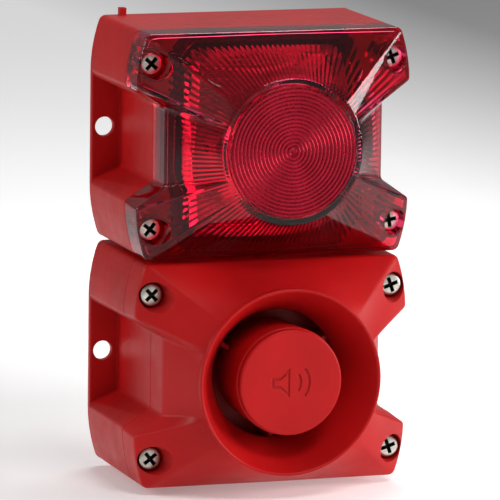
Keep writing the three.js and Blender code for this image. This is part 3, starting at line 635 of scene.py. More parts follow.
def tapered_bar(span, width, top, depth, shrink, turn, x, z):
    """A bar that cuts one slot of a screw's recess, narrower at its bottom."""
    vertices = []
    for level, scale in ((top + 0.5, 1.0), (top - depth, shrink)):
        for sx, sz in ((-1, -1), (1, -1), (1, 1), (-1, 1)):
            px, pz = sx * span / 2 * scale, sz * width / 2 * (0.5 + scale / 2)
            qx = px * math.cos(turn) - pz * math.sin(turn)
            qz = px * math.sin(turn) + pz * math.cos(turn)
            vertices.append(((x + qx) * MM, -level * MM, (z + qz) * MM))
    faces = [(0, 1, 2, 3), (7, 6, 5, 4), (0, 4, 5, 1), (1, 5, 6, 2), (2, 6, 7, 3), (3, 7, 4, 0)]
    return make_object("arm", vertices, faces)


def pan_screw(name, x, z, seat_depth, tip_depth, turn):
    """A pan head screw with a cross recess and a threaded shank."""
    head_r, shank_r = SCREW["head_r"], SCREW["shank_r"]
    seat, top = seat_depth + 0.3, seat_depth + SCREW["head_height"]
    profile = [(0, tip_depth, 0), (shank_r - 0.9, tip_depth, 0), (shank_r - 0.1, tip_depth + 0.9, 0)]
    depth = tip_depth + 1.2
    while depth < seat - 6:
        profile += [(shank_r - 0.02, depth, 0), (shank_r - SCREW["groove"], depth + SCREW["pitch"] * 0.5, 0)]
        depth += SCREW["pitch"]
    profile += [(shank_r - 0.02, depth, 0), (shank_r - 0.02, seat, 0.2), (head_r, seat, 0.3)]
    profile += [(head_r, top - 1.2, 0.7), (head_r * 0.86, top - 0.3, 0.8), (head_r * 0.5, top - 0.05, 1.0)]
    screw = turned(name, profile + [(0, top, 0)], x, z, 56)
    arms = [tapered_bar(CROSS["span"], CROSS["width"], top, CROSS["depth"], CROSS["shrink"], turn + way, x, z)
            for way in (0, math.pi / 2)]
    return combine(screw, arms, "DIFFERENCE")


def gasket(name, module_z):
    """A moulded seal: two sealing beads in the groove and a thin skirt over the housing's inner lip."""
    back, front = depth_span(name)
    half, skirt_back, reach = 2.4, front - 1.1, 6.0
    section = [
        (-half, back + 0.5), (-half, front - 0.6), (-half + 0.5, front), (-0.4, front), (0, front - 0.35),
        (0.4, front), (1.6, front), (2.0, front - 0.3), (reach - 0.4, front - 0.3), (reach, front - 0.6),
        (reach, skirt_back + 0.2), (reach - 0.3, skirt_back), (half, skirt_back), (half, back + 0.5),
        (half - 0.5, back), (-half + 0.5, back),
    ]
    vertices = []
    for offset, depth in section:
        line = filleted(inset(gasket_outline(), offset), steps=12)
        vertices += [(x * MM, -depth * MM, (z + module_z) * MM) for x, z in line]
    return make_object(name + "_seal", vertices, tube_faces(len(section), len(line), wrap=True))


def horn_cup():
    """The cup with its stepped front, its webs and a sunk pictogram of a loudspeaker."""
    back, front = depth_span("horn_cup")
    r, step_r, face_r, inner_r = CUP["r"], CUP["step_r"], CUP["face_r"], CUP["inner_r"]
    cup = turned("horn_cup_body", [
        (0, 98.8, 0), (inner_r, 98.8, 0.8), (inner_r - 1.1, CUP["back"], 0.5), (step_r, CUP["back"], 0.6),
        (r, 98.2, 0.4), (r, 100.3, 0.5), (step_r, 100.4, 0.2), (step_r, 101.1, 0.2), (face_r, 101.2, 0.3),
        (face_r, front, 1.3), (0, front, 0),
    ], 0, SOUNDER_Z, 128)
    webs = []
    inner, outer, half = inner_r + 0.3, HORN["bowl_r"] - 0.4, CUP["web_half"]
    for degrees in (150, 270, 30):
        turn = Matrix.Rotation(math.radians(degrees), 2)
        corners = [(inner, -half), (outer, -half), (outer, half), (inner, half)]
        corners = [tuple(turn @ Vector(c)) for c in corners]
        webs.append(prism("web", corners, back, CUP["web_front"], SOUNDER_Z))
    combine(cup, webs, "UNION")
    return combine(cup, pictogram(front - 0.55, front + 1), "DIFFERENCE")


def arc_band(radius, width, degrees, back, front, x):
    """A band along an arc of a circle, the same number of degrees above and below its middle."""
    angles = np.radians(np.linspace(-degrees, degrees, 41))
    outer, inner = ([(x + r * math.cos(a), r * math.sin(a)) for a in angles]
                    for r in (radius + width / 2, radius - width / 2))
    return prism("band", outer + inner[::-1], back, front, SOUNDER_Z)


def pictogram(back, front):
    """A plain loudspeaker sign with two sound arcs."""
    horn = [(-9.5, -2.6), (-5.6, -2.6), (-0.6, -7.0), (-0.6, 7.0), (-5.6, 2.6), (-9.5, 2.6)]
    core = [(-8.3, -1.4), (-5.1, -1.4), (-1.8, -4.4), (-1.8, 4.4), (-5.1, 1.4), (-8.3, 1.4)]
    speaker = prism("speaker", horn, back, front, SOUNDER_Z)
    combine(speaker, [prism("core", core, back - 1, front + 1, SOUNDER_Z)], "DIFFERENCE")
    return [speaker] + [arc_band(r, 1.2, 38, back, front, -1.5) for r in (6.2, 10.4)]


# ---- Driver, throat and cable entries ----

def horn_throat():
    """The bowl's floor with the tube that leads the sound into the cup."""
    back, front = depth_span("horn_throat")
    floor = back + 3.5
    return turned("horn_throat_tube", [
        (5.5, back + 1.5, 0.3), (22, back + 1.5, 0.3), (22, back, 0.3), (36, back, 0.3), (36, floor, 0.5),
        (13, floor, 0.8), (9.2, floor + 1.6, 1.2), (8, floor + 5, 1.0), (8, front, 0.35), (6.8, front, 0.35),
        (5.5, 66, 1.5),
    ], 0, SOUNDER_Z)


def driver_shell():
    """The driver's can, with a rolled rim and a stepped back."""
    back, front = depth_span("driver_can")
    return turned("driver_shell", [
        (0, back, 0), (24, back, 0.5), (24.6, back + 0.7, 0.4), (31.6, back + 0.7, 1.0),
        (33, back + 2.2, 0.8), (33, back + 9, 0.3), (32.5, back + 9.5, 0.3), (32.5, back + 10.5, 0.3),
        (33, back + 11, 0.3),
        (33, front, 0.5), (30.6, front, 0.4), (30.6, back + 2.4, 0.6), (0, back + 2.4, 0),
    ], 0, SOUNDER_Z)


def swung(obj, turn, x, depth, z):
    """A piece made about the depth axis, turned, with its origin then at the place given."""
    obj.data.transform(Matrix.Translation(Vector((x, -depth, z)) * MM) @ turn)
    return obj


def stood_up(obj, x, depth, z):
    """A turned piece that stands upright, with its start at the bottom."""
    return swung(obj, Matrix.Rotation(-math.pi / 2, 4, "X"), x, depth, z)


def laid_along(obj, x, depth, z):
    """A turned piece that lies along x."""
    return swung(obj, Matrix.Rotation(math.pi / 2, 4, "Z"), x, depth, z)


def entry_plug(node):
    """A threaded plug with a gripped head and a slot for a coin."""
    low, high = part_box(node)
    height, x, depth = (high[2] - low[2]) / MM, centre(node)[0], -centre(node)[1]
    head_r, crest_r, root_r, grip_r = 12.5, 9.9, 9.3, 12.9
    thread = [(crest_r if k % 2 else root_r, 3.8 + 0.75 * k, 0) for k in range(9)]
    plug = turned(node + "_threaded", [
        (0, 0, 0), (head_r - 1.1, 0, 0.5), (head_r, 1.0, 0.4), (head_r, 3.2, 0.4), (crest_r, 3.2, 0), *thread,
        (root_r - 0.1, height, 0.4), (0, height, 0),
    ])
    grips = [disc("grip", grip_r * math.cos(a), grip_r * math.sin(a), 0.9, -1, 3.9, segments=16)
             for a in np.arange(20) * math.pi / 10]
    combine(plug, [block("slot", 0, 0, 14, 2, -1, 1.2)] + grips, "DIFFERENCE")
    return stood_up(plug, x, depth, low[2] / MM)


# ---- Reflector, flash tube and what is on the boards ----

def reflector():
    """The bright tray on its feet, drawn from sheet with rounded corners."""
    back, front = depth_span("reflector")
    size = REFLECTOR
    floor, sheet = size["floor"], size["sheet"]
    rim = mirrored([(size["half_x"], size["half_z"], 6.5)])
    base = mirrored([(size["floor_x"], size["floor_z"], 5.0)])
    tray = skin("reflector_tray", [
        (ring(2, floor - sheet), 0, 6), (ring(radius_of(base), floor - sheet), 2.0, 4),
        (ring(radius_of(rim), front), 0.25, 0), (ring(radius_of(inset(rim, size["skin"])), front), 0.25, 4),
        (ring(radius_of(inset(base, size["skin"])), floor), 1.6, 6), (ring(2, floor), 0, 0),
    ], STROBE_Z, closed=False)
    foot_x, foot_z = size["foot_x"], size["foot_z"]
    feet = [disc("foot", sx * foot_x, sz * foot_z, size["foot_r"], back, floor - 0.5, STROBE_Z, segments=32)
            for sx, sz in CORNERS]
    combine(tray, feet, "UNION")
    holes = [disc("hole", x, z, r, floor - deep, floor + 1, STROBE_Z, segments=32) for x, z, r, deep in (
        (-size["post_x"], 0, 1.6, 3), (size["post_x"], 0, 1.6, 3),
        (-foot_x, foot_z, 1.5, 6), (foot_x, -foot_z, 1.5, 6))]
    return combine(tray, holes, "DIFFERENCE")


def gather(name, parts):
    """Several (mesh object, material) pairs as one piece."""
    whole = bmesh.new()
    for index, (part, _) in enumerate(parts):
        part.data.polygons.foreach_set("material_index", [index] * len(part.data.polygons))
        whole.from_mesh(part.data)
        bpy.data.objects.remove(part)
    piece = make_object(name, [], [], [material for _, material in parts])
    whole.to_mesh(piece.data)
    whole.free()
    return shade(piece)


def flash_tube():
    """The glass of the xenon tube, hollow with rounded ends."""
    return laid_along(turned("xenon_glass", [
        (0, -20, 0), (1.9, -20, 0.9), (3, -18.6, 1.0), (3, 18.6, 1.0), (1.9, 20, 0.9), (0, 20, 0),
        (0, 19.2, 0), (1.6, 19.2, 0.6), (2.4, 18.2, 0.7), (2.4, -18.2, 0.7), (1.6, -19.2, 0.6), (0, -19.2, 0),
    ], segments=48), 0, TUBE_DEPTH, STROBE_Z)


def electrodes():
    """The two electrodes inside the tube: a pin with a sintered bead."""
    pins = []
    for side in (-1, 1):
        pin = turned("pin", [(r, side * along, reach) for r, along, reach in (
            (0, 18.9, 0), (0.45, 18.9, 0.1), (0.45, 14, 0.1), (1.2, 13.6, 0.3), (1.2, 11.4, 0.4), (0, 11, 0),
        )], segments=24)
        pins.append((laid_along(pin, 0, TUBE_DEPTH, STROBE_Z), FINISHES["steel"]))
    return gather("tube_electrodes", pins)


def capacitor():
    """The flash capacitor: a sleeved can with a crimped end."""
    x, y, z = centre("flash_capacitor")
    return laid_along(turned("capacitor_can", [
        (0, -15.4, 0), (6.4, -15.4, 0.2), (6.6, -16, 0.2), (7.4, -16, 0.4), (8, -15.2, 0.4), (8, 10.6, 0.5),
        (7.3, 11.4, 0.6), (8, 12.2, 0.5), (8, 15.3, 0.5), (7.3, 16, 0.4), (6.2, 16, 0.2), (6.0, 15.5, 0.2),
        (0, 15.5, 0),
    ], segments=72), x, -y, z)


def chip(x, z, legs, front):
    """A small outline chip: its body, and two rows of legs."""
    body = soften(block("body", x, z, legs * CHIP_PITCH, 3.9, front + 0.25, front + 1.9), 0.2)
    parts = [(apply_modifiers(body), FINISHES["black_plastic"])]
    for k in range(legs):
        at = x + (k - (legs - 1) / 2) * CHIP_PITCH
        for side in (-1, 1):
            leg = block("leg", at, z + side * 2.5, 0.42, 1.3, front + 0.02, front + 0.5)
            parts.append((leg, FINISHES["steel"]))
    return parts


def small_can(x, z, r, height, front):
    """A standing electrolytic capacitor."""
    top = front + height
    return [(turned("can", [
        (0, front + 0.05, 0), (r - 0.5, front + 0.05, 0.2), (r, front + 0.6, 0.2), (r, front + 1.4, 0.2),
        (r - 0.3, front + 1.8, 0.2), (r, front + 2.2, 0.2), (r, top, 0.4), (r * 0.8, top, 0.1),
        (r * 0.78, top - 0.2, 0.1), (0, top - 0.2, 0),
    ], x, z, 40), FINISHES["blue_plastic"])]


def resistor(x, z, front):
    """A chip resistor between two soldered ends."""
    parts = [(block("body", x, z, 2.2, 1.6, front + 0.05, front + 0.6), FINISHES["black_plastic"])]
    for side in (-1, 1):
        end = block("end", x + side * 1.35, z, 0.5, 1.6, front + 0.02, front + 0.64)
        parts.append((end, FINISHES["steel"]))
    return parts


def board_parts(name, board, module_z, chips, cans, resistors):
    """The small parts soldered to a board, as one piece."""
    front = depth_span(board)[1]
    parts = []
    for x, z, legs in chips:
        parts += chip(x, z + module_z, legs, front)
    for x, z, r, height in cans:
        parts += small_can(x, z + module_z, r, height, front)
    for x, z in resistors:
        parts += resistor(x + RANDOM.uniform(-0.15, 0.15), z + module_z, front)
    return gather(name, parts)


def terminal_screws(node, ways):
    """The slotted clamp screws down a terminal block's wells."""
    x, _, z = centre(node)
    top = depth_span(node)[1] - 2.2
    screws = []
    for k in range(ways):
        at = x + (k - (ways - 1) / 2) * TERMINAL_PITCH
        profile = [(0, top - 1.2, 0), (1.5, top - 1.2, 0.1), (1.5, top, 0.2), (0, top, 0)]
        screw = turned("clamp", profile, at, z, 32)
        slot = tapered_bar(3.4, 0.45, top, 0.6, 1.0, RANDOM.uniform(0, math.pi), at, z)
        screws.append((combine(screw, [slot], "DIFFERENCE"), FINISHES["steel"]))
    return gather(node + "_screws", screws)


def transformer():
    """The sounder's transformer: a laminated core round a taped winding."""
    low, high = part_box("audio_transformer")
    x, _, z = centre("audio_transformer")
    back, front = depth_span("audio_transformer")
    width, height = (high[0] - low[0]) / MM, (high[2] - low[2]) / MM
    core = block("core", x, z, width, height - 3, back, front)
    window = block("window", x, z, width - 6, height, back + 3, front - 3)
    combine(core, [window], "DIFFERENCE")
    winding = soften(block("winding", x, z, width - 6.4, height, back + 3.2, front - 3.2), 0.9, 3)
    return gather("transformer_core", [(apply_modifiers(soften(core, 0.3)), FINISHES["dark_ferrite"]),
                                       (apply_modifiers(winding), FINISHES["amber_tape"])])


def link_cable():
    """The sheathed cable through the nipple, along the CAD cable's own route."""
    points = [Vector((0, y, z)) for y, z in (
        (-16, SOUNDER_Z - 17.8), (-17, SOUNDER_Z + 4), (-20, SOUNDER_Z + 30),
        (-20, 0), (-20, STROBE_Z - 34), (-19.2, STROBE_Z - 27.2))]
    stops = [points[0]] + points + [points[-1]]
    route = []
    for a, b, c, d in zip(stops, stops[1:], stops[2:], stops[3:]):
        for t in np.linspace(0, 1, 12, endpoint=False):
            route.append(0.5 * ((2 * b) + (c - a) * t + (2 * a - 5 * b + 4 * c - d) * t**2
                                + (3 * b - a - 3 * c + d) * t**3))
    route.append(points[-1])
    segments, r = 24, 2.4
    vertices = [((spot.x + r * math.cos(k)) * MM, (spot.y + r * math.sin(k)) * MM, spot.z * MM)
                for spot in route for k in np.arange(segments) * 2 * math.pi / segments]
    ends = [tuple(range(segments)), tuple(range((len(route) - 1) * segments, len(route) * segments))]
    return make_object("link_cable_sheath", vertices, tube_faces(len(route), segments, wrap=False) + ends)


# ---- Materials ----

def srgb(red, green, blue):
    """A linear colour from 0 to 255 display values."""
    linear = [c / 255 / 12.92 if c <= 10 else ((c / 255 + 0.055) / 1.055) ** 2.4 for c in (red, green, blue)]
    return (*linear, 1.0)


def tinted(colour, share):
    """A colour made darker or lighter."""
    return tuple(min(1.0, c * share) for c in colour[:3]) + (1.0,)


class Nodes:
    """A short way to write a material's node tree."""

    def __init__(self, name):
        self.material = bpy.data.materials.new(name)
        self.material.use_nodes = True
        self.tree = self.material.node_tree
        self.shader = self.tree.nodes["Principled BSDF"]
        self.place = self.add("ShaderNodeTexCoord").outputs["Object"]

    def add(self, kind, **values):
        node = self.tree.nodes.new(kind)
        for key, value in values.items():
            if key in node.inputs:
                node.inputs[key].default_value = value
            else:
                setattr(node, key, value)
        return node

    def link(self, source, target):
        self.tree.links.new(source, target)

    def noise(self, scale, detail=3.0, roughness=0.5):
        node = self.add("ShaderNodeTexNoise", Scale=scale, Detail=detail, Roughness=roughness)
        self.link(self.place, node.inputs["Vector"])
        return node.outputs["Fac"]

    def spread(self, source, low, high, to_low=0.0, to_high=1.0):
        node = self.add("ShaderNodeMapRange")
        for index, value in enumerate((low, high, to_low, to_high), 1):
            node.inputs[index].default_value = value
        self.link(source, node.inputs[0])
        return node.outputs[0]

    def blend_colour(self, factor, first, second):
        node = self.add("ShaderNodeMix", data_type="RGBA")
        colours = [s for s in node.inputs if s.type == "RGBA"]
        for socket, value in zip(colours, (first, second)):
            if isinstance(value, tuple):
                socket.default_value = value
            else:
                self.link(value, socket)
        self.link(factor, node.inputs[0])
        return [s for s in node.outputs if s.type == "RGBA"][0]

    def maths(self, operation, first, second):
        node = self.add("ShaderNodeMath", operation=operation)
        for index, value in enumerate((first, second)):
            if isinstance(value, float):
                node.inputs[index].default_value = value
            else:
                self.link(value, node.inputs[index])
        return node.outputs[0]

    def edges(self, radius):
        """The normal with every edge rounded over a radius in metres, and how near an edge a point is."""
        bevel = self.add("ShaderNodeBevel", samples=4, Radius=radius)
        facing = self.add("ShaderNodeVectorMath", operation="DOT_PRODUCT")
        self.link(bevel.outputs[0], facing.inputs[0])
        self.link(self.add("ShaderNodeNewGeometry").outputs["Normal"], facing.inputs[1])
        return bevel.outputs[0], self.spread(facing.outputs["Value"], 0.80, 0.985, 1.0, 0.0)

    def paint(self, colour):
        self.link(colour, self.shader.inputs["Base Color"])

    def gloss(self, source, low, high, to_low, to_high):
        self.link(self.spread(source, low, high, to_low, to_high), self.shader.inputs["Roughness"])

    def bump(self, height, strength, distance, normal=None):
        node = self.add("ShaderNodeBump", Strength=strength, Distance=distance)
        self.link(height, node.inputs["Height"])
        if normal is not None:
            self.link(normal, node.inputs["Normal"])
        self.link(node.outputs["Normal"], self.shader.inputs["Normal"])

    def set(self, **values):
        for key, value in values.items():
            self.shader.inputs[key.replace("_", " ")].default_value = value


def moulded(name, colour, worn, roughness=0.4):
    """Injection moulded plastic: fine spark grain, faint flow clouds, handling marks and pale worn edges."""
    n = Nodes(name)
    clouds = n.spread(n.noise(28, 4), 0.3, 0.7)
    base = n.blend_colour(clouds, tinted(colour, 0.8), colour)
    scuffs = n.spread(n.noise(420, 5, 0.7), 0.45, 0.65)
    soft_normal, edge = n.edges(0.0007)
    wear = n.maths("MULTIPLY", n.maths("MULTIPLY", edge, scuffs), 0.4)
    n.paint(n.blend_colour(wear, base, worn))
    n.gloss(n.noise(75, 5, 0.65), 0.3, 0.75, roughness - 0.07, roughness + 0.1)
    n.bump(n.noise(2200, 2, 0.6), 0.35, 0.00003, soft_normal)
    n.set(IOR=1.27)
    return n.material


def machined(name, colour, dark, roughness=0.25):
    """Bright metal with fine scratches, tarnish in patches, and painted shade that darkens its recesses."""
    n = Nodes(name)
    patches = n.spread(n.noise(260, 5, 0.65), 0.35, 0.7)
    # Painted shade: ambient occlusion blends the colour to near black in recesses and creases.
    painted_shade_occlusion = n.add("ShaderNodeAmbientOcclusion", samples=8, Distance=0.0016)
    hollow = n.spread(painted_shade_occlusion.outputs["AO"], 0.4, 0.7, 1.0, 0.0)
    n.paint(n.blend_colour(hollow, n.blend_colour(patches, colour, dark), tinted(dark, 0.08)))
    n.gloss(n.noise(500, 4, 0.7), 0.3, 0.7, roughness - 0.08, roughness + 0.14)
    n.bump(n.noise(900, 4, 0.8), 0.25, 0.00002)
    n.set(Metallic=1.0)
    return n.material


def rubber(name, colour):
    """Dull black rubber with a little dust on it."""
    n = Nodes(name)
    dust = n.spread(n.noise(600, 4, 0.7), 0.5, 0.75, 0.0, 0.35)
    n.paint(n.blend_colour(dust, colour, srgb(66, 66, 68)))
    n.gloss(n.noise(180, 3), 0.3, 0.7, 0.6, 0.8)
    n.bump(n.noise(1500, 3, 0.6), 0.4, 0.00004)
    n.set(Specular_IOR_Level=0.35)
    return n.material


def clear_plastic(name, colour, roughness=0.03):
    """Transparent moulded plastic with slight flow waves and fine surface marks."""
    n = Nodes(name)
    streaks = n.spread(n.noise(38, 3), 0.3, 0.7)
    n.paint(n.blend_colour(streaks, colour, tinted(colour, 1.12)))
    n.gloss(n.noise(320, 5, 0.7), 0.45, 0.75, roughness, roughness + 0.09)
    n.bump(n.noise(90, 2), 0.12, 0.00012)
    n.set(Transmission_Weight=1.0, IOR=1.36)
    return n.material


def ring_prisms(name, colour, dark):
    """The disc's prisms: tinted, glossy rings that throw the light back and let little through."""
    n = Nodes(name)
    n.paint(n.blend_colour(n.spread(n.noise(120, 4), 0.3, 0.7), dark, colour))
    n.gloss(n.noise(320, 5, 0.7), 0.4, 0.75, 0.24, 0.36)
    n.bump(n.noise(700, 3, 0.6), 0.15, 0.00004)
    n.set(Metallic=0.65, Transmission_Weight=0.35, IOR=1.3)
    return n.material


def circuit_board(name):
    """Solder-masked board: raised tracks that run straight and at 45 degrees, and tinned vias."""
    n = Nodes(name)
    reach = []
    for feature in ("F1", "F2"):
        cells = n.add("ShaderNodeTexVoronoi", feature=feature, distance="MANHATTAN", Scale=300.0,
                      Randomness=0.8)
        n.link(n.place, cells.inputs["Vector"])
        reach.append(cells.outputs["Distance"])
    tracks = n.spread(n.maths("SUBTRACT", reach[1], reach[0]), 0.10, 0.14, 1.0, 0.0)
    vias = n.spread(reach[0], 0.14, 0.17, 1.0, 0.0)
    mottled = n.blend_colour(n.noise(60, 4), srgb(14, 66, 38), srgb(20, 78, 46))
    masked = n.blend_colour(tracks, mottled, srgb(34, 104, 62))
    n.paint(n.blend_colour(vias, masked, srgb(196, 190, 168)))
    n.gloss(n.noise(200, 3), 0.3, 0.7, 0.25, 0.4)
    n.bump(tracks, 0.4, 0.00004)
    return n.material


def brushed(name, colour, roughness):
    """Metallised sheet with a faint grain along x and y."""
    n = Nodes(name)
    mapping = n.add("ShaderNodeMapping", Scale=(1.0, 1.0, 60.0))
    n.link(n.place, mapping.inputs["Vector"])
    lines = n.add("ShaderNodeTexNoise", Scale=60.0, Detail=4.0)
    n.link(mapping.outputs["Vector"], lines.inputs["Vector"])
    n.paint(n.blend_colour(n.noise(90, 4), tinted(colour, 0.8), colour))
    n.gloss(lines.outputs["Fac"], 0.3, 0.7, roughness - 0.06, roughness + 0.1)
    n.bump(lines.outputs["Fac"], 0.12, 0.00002)
    n.set(Metallic=1.0)
    return n.material


FINISHES = {
    "red_plastic": moulded("red_moulding", srgb(190, 18, 20), srgb(220, 84, 74)),
    "crimson_lens": clear_plastic("crimson_lens", (0.86, 0.05, 0.15, 1.0)),
    "black_rubber": rubber("seal_rubber", srgb(20, 20, 22)),
    "steel": machined("zinc_steel", srgb(226, 222, 212), srgb(176, 170, 158), roughness=0.34),
    "green_board": circuit_board("board"),
    "grey_plastic": moulded("grey_moulding", srgb(112, 116, 120), srgb(160, 162, 164)),
    "blue_plastic": moulded("blue_moulding", srgb(28, 78, 156), srgb(96, 134, 190)),
    "white_plastic": moulded("white_moulding", srgb(228, 226, 218), srgb(244, 243, 240)),
    "black_plastic": moulded("black_moulding", srgb(18, 18, 20), srgb(84, 84, 86)),
    "amber_tape": moulded("amber_tape", srgb(196, 150, 52), srgb(226, 196, 120), roughness=0.3),
    "mirror_reflector": brushed("metallised_tray", srgb(236, 236, 238), roughness=0.2),
    "clear_glass": clear_plastic("tube_glass", (0.96, 0.97, 0.98, 1.0), roughness=0.0),
    "dark_ferrite": moulded("ferrite", srgb(44, 42, 40), srgb(90, 88, 84), roughness=0.6),
    "copper_wire": machined("enamelled_copper", srgb(196, 104, 52), srgb(140, 66, 34)),
    "amber_film": moulded("amber_film", srgb(200, 150, 70), srgb(226, 190, 130), roughness=0.3),
    "brass": machined("plated_brass", srgb(198, 168, 96), srgb(150, 122, 62)),
    "black_cable": rubber("cable_sheath", srgb(30, 30, 33)),
}
# Painted shade: a dark, dull metal that the faces down each screw's cross recess take, standing in for the
# shade there.
PAINTED_CROSS_SHADE = machined("recess_painted_shade", srgb(44, 42, 40), srgb(24, 23, 22), roughness=0.5)
PRISMS = ring_prisms("crimson_prisms", (0.34, 0.006, 0.022, 1.0), (0.25, 0.004, 0.015, 1.0))


# ---- Pieces round the frame ----

def second_finish(piece, material, x, z, reach, back, front):
    """The faces near an axis and between two depths get a finish of their own."""
    piece.data.materials.append(material)
    for face in piece.data.polygons:
        px, py, pz = face.center / MM
        if math.hypot(px - x, pz - z) < reach and back < -py < front:
            face.material_index = 1


def slot_of(node):
    """The record's material slot of a CAD node."""
    return next(part["material_slot"] for part in frame["record"]["subparts"] if part["node"] == node)


REPLACED = set()


def finish_frame_nodes():
    """CAD nodes that stay: their own finish, merged flat faces and rounded edges."""
    for node, obj in frame["nodes"].items():
        if node in REPLACED:
            continue
        obj.data.materials.clear()
        obj.data.materials.append(FINISHES[slot_of(node)])
        flat = obj.modifiers.new("merge_flats", "DECIMATE")
        flat.decimate_type = "DISSOLVE"
        flat.angle_limit = math.radians(1)
        soften(obj, 0.2)


def place_gathered(piece, node, instead=False):
    """A piece with its own materials, which rides with a node or takes its place."""
    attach(piece, frame["nodes"][node]["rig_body"])
    if instead:
        REPLACED.add(node)
        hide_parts(node)


def place(piece, node, smooth=32):
    """The piece takes a CAD node's place, on its body and with its finish."""
    finish = slot_of(node)
    shade(piece, smooth)
    piece.data.materials.clear()
    piece.data.materials.append(FINISHES[finish])
    piece.modifiers.new("normals", "WEIGHTED_NORMAL").keep_sharp = True
    place_gathered(piece, node, instead=True)
    return piece


def add_inner_pieces():
    """What shows when a cover is lifted off."""
    place(horn_throat(), "horn_throat", 40)
    place(driver_shell(), "driver_can", 40)
    place(reflector(), "reflector", 40)
    place(flash_tube(), "flash_tube", 50)
    place(capacitor(), "flash_capacitor", 50)
    place(link_cable(), "link_cable", 60)
    for node in ("entry_plug_1", "entry_plug_2"):
        place(entry_plug(node), node)
    place_gathered(transformer(), "audio_transformer", instead=True)
    place_gathered(electrodes(), "flash_tube")
    place_gathered(terminal_screws("strobe_terminal", 4), "strobe_terminal")
    place_gathered(terminal_screws("supply_terminal", 6), "supply_terminal")
    place_gathered(board_parts(
        "strobe_board_parts", "strobe_board", STROBE_Z, chips=[(-5, -4, 8), (-6, 4, 4)],
        cans=[(9, -4, 3.2, 7), (16.5, -8, 2.6, 6)],
        resistors=[(-15, z) for z in (5, 1.5, -2, -5.5, -9)] + [(2.5, 5), (8, 4.6), (13, 4.2)],
    ), "strobe_board")
    place_gathered(board_parts(
        "sounder_board_parts", "sounder_board", SOUNDER_Z, chips=[(-4, 8, 8), (-4, -6, 7), (24, -10, 4)],
        cans=[(4, 21, 4.0, 10), (-7, 22, 3.2, 8), (12, -8, 2.6, 6)],
        resistors=[(-12, 0.5), (-7.5, 0.5), (-3, 0.5), (1.5, 0.5), (-8, -12.5), (-3.5, -12.5), (1, -12.5),
                   (8, 9), (8, 12)],
    ), "sounder_board")


def add_pieces():
    """The pieces that show from outside, and the seals."""
    lens = place(strobe_lens(), "strobe_lens", 28)
    second_finish(lens, PRISMS, 0, STROBE_Z, LENS["disc_r"] - DISC_RING["margin"] + 0.2,
                  LENS_FRONT - DISC_RING["height"] - 0.1, LENS_FRONT + 1)
    place(sounder_cover(), "sounder_cover", 28)
    place(horn_flare(), "horn_flare", 40)
    place(horn_cup(), "horn_cup")
    place(gasket("strobe_gasket", STROBE_Z), "strobe_gasket", 50)
    place(gasket("sounder_gasket", SOUNDER_Z), "sounder_gasket", 50)
    strobe = housing_solid("strobe_case", STROBE_Z, "strobe_board", STROBE_HOLES)
    peg = block("peg", PEG["x"], HALF_HEIGHT + 1.2, PEG["width"], PEG["height"], 0, PEG["depth"], STROBE_Z)
    place(combine(strobe, [peg], "UNION"), "strobe_housing")
    place(housing_solid("sounder_case", SOUNDER_Z, "sounder_board", SOUNDER_HOLES), "sounder_housing")
    sets = (("lens_screw", LENS_SEAT, STROBE_Z), ("cover_screw", COVER_SEAT, SOUNDER_Z))
    for prefix, seat, module_z in sets:
        for i, (x, z) in enumerate(SCREW_PLACES, 1):
            node, z = f"{prefix}_{i}", z + module_z
            turn = math.radians(RECESS_TURN[x > 0] + RANDOM.uniform(-8, 8))
            piece = pan_screw(node + "_pan", x, z, seat["depth"], depth_span(node)[0], turn)
            top = depth_span(node)[1]
            # The faces down the cross recess take the painted shade metal.
            second_finish(place(piece, node, 40), PAINTED_CROSS_SHADE, x, z, 0.78 * SCREW["head_r"],
                          top - CROSS["depth"] - 0.2, top - 0.3)


# ---- Camera, light and floor ----

CAMERA = {"yaw": 18.58, "pitch": 9.56, "roll": 0.74, "distance": 2.727, "lens": 413.2}
TARGET = Vector((0.00395, -0.030, -0.00376))
LAMP_AIM = Vector((0, -0.05, 0))
LAMPS = {  # place, size, power
    "key": ((1.08, -0.52, 0.22), (0.45, 0.45), 9.0),
    "left": ((-1.0, -0.75, 0.45), (0.9, 0.9), 1.0),
    "left_back": ((-0.97, 0.29, 0.40), (0.4, 0.4), 3.2),
    "front": ((0.15, -0.9, 1.0), (0.5, 0.35), 6.0),
    "top_back": ((0.25, 0.55, 0.85), (0.6, 0.4), 4),
}
WORLD_LIGHT = 0.22
FLOOR = {"radius": 3.0, "segments": 64, "glow": 0.42, "glow_in": (-0.2, 0.1), "glow_out": (0.4, 0.7)}


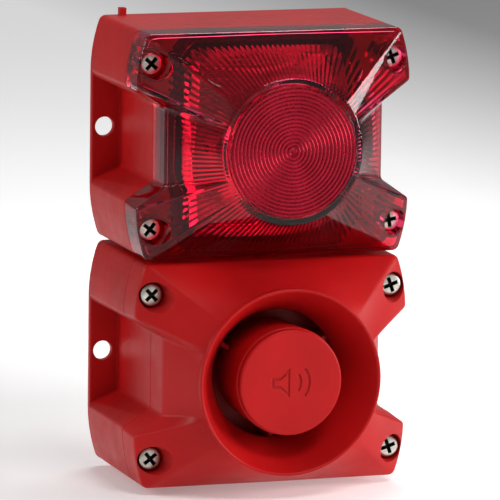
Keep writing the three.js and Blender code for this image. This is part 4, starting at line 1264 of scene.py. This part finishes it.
def add_camera():
    """A long lens, aimed by yaw, pitch and roll in degrees from straight in front."""
    yaw, pitch, roll = (math.radians(CAMERA[k]) for k in ("yaw", "pitch", "roll"))
    turn = (Matrix.Rotation(-yaw, 4, "Z") @ Matrix.Rotation(math.pi / 2 - pitch, 4, "X")
            @ Matrix.Rotation(roll, 4, "Z"))
    data = bpy.data.cameras.new("camera")
    data.lens = CAMERA["lens"]
    data.sensor_width = 36
    data.clip_end = 50
    camera = bpy.data.objects.new("camera", data)
    away = Matrix.Translation((0, 0, CAMERA["distance"]))
    camera.matrix_world = Matrix.Translation(TARGET) @ turn @ away
    bpy.context.scene.collection.objects.link(camera)
    bpy.context.scene.camera = camera


def add_lamp(name, place, size, power):
    data = bpy.data.lights.new(name, "AREA")
    data.shape = "RECTANGLE"
    data.size, data.size_y = size
    data.energy = power
    lamp = bpy.data.objects.new(name, data)
    lamp.location = place
    lamp.rotation_euler = (LAMP_AIM - Vector(place)).to_track_quat("-Z", "Y").to_euler()
    bpy.context.scene.collection.objects.link(lamp)


def pale_floor():
    """Matt and pale, with a soft glow over a stretch of its x."""
    n = Nodes("pale_floor")
    n.paint(n.blend_colour(n.noise(6, 4), (0.86, 0.86, 0.86, 1), (0.9, 0.9, 0.9, 1)))
    along = n.add("ShaderNodeSeparateXYZ")
    n.link(n.place, along.inputs[0])
    fade_in = n.spread(along.outputs[0], *FLOOR["glow_in"])
    fade_out = n.spread(along.outputs[0], *FLOOR["glow_out"], 1.0, 0.0)
    glow = n.maths("MULTIPLY", n.maths("MULTIPLY", fade_in, fade_out), FLOOR["glow"])
    n.link(glow, n.shader.inputs["Emission Strength"])
    n.set(Roughness=0.7, Emission_Color=(1, 1, 1, 1))
    return n.material


def add_studio():
    """The floor under the object, the world's even light and the lamps."""
    floor_z, radius, segments = cad_box[0][2], FLOOR["radius"], FLOOR["segments"]
    angles = [2 * math.pi * k / segments for k in range(segments)]
    rim = [(radius * math.cos(a), radius * math.sin(a), floor_z) for a in angles]
    faces = [(0, 1 + k, 1 + (k + 1) % segments) for k in range(segments)]
    floor = make_object("floor", [(0, 0, floor_z)] + rim, faces, [pale_floor()])
    world = bpy.data.worlds.new("studio")
    world.use_nodes = True
    background = world.node_tree.nodes["Background"]
    background.inputs["Color"].default_value = (1, 1, 1, 1)
    background.inputs["Strength"].default_value = WORLD_LIGHT
    bpy.context.scene.world = world
    for name, (place_at, size, power) in LAMPS.items():
        add_lamp(name, place_at, size, power)
    bpy.context.scene.view_settings.view_transform = "Standard"


add_camera()
add_studio()
add_pieces()
add_inner_pieces()
finish_frame_nodes()
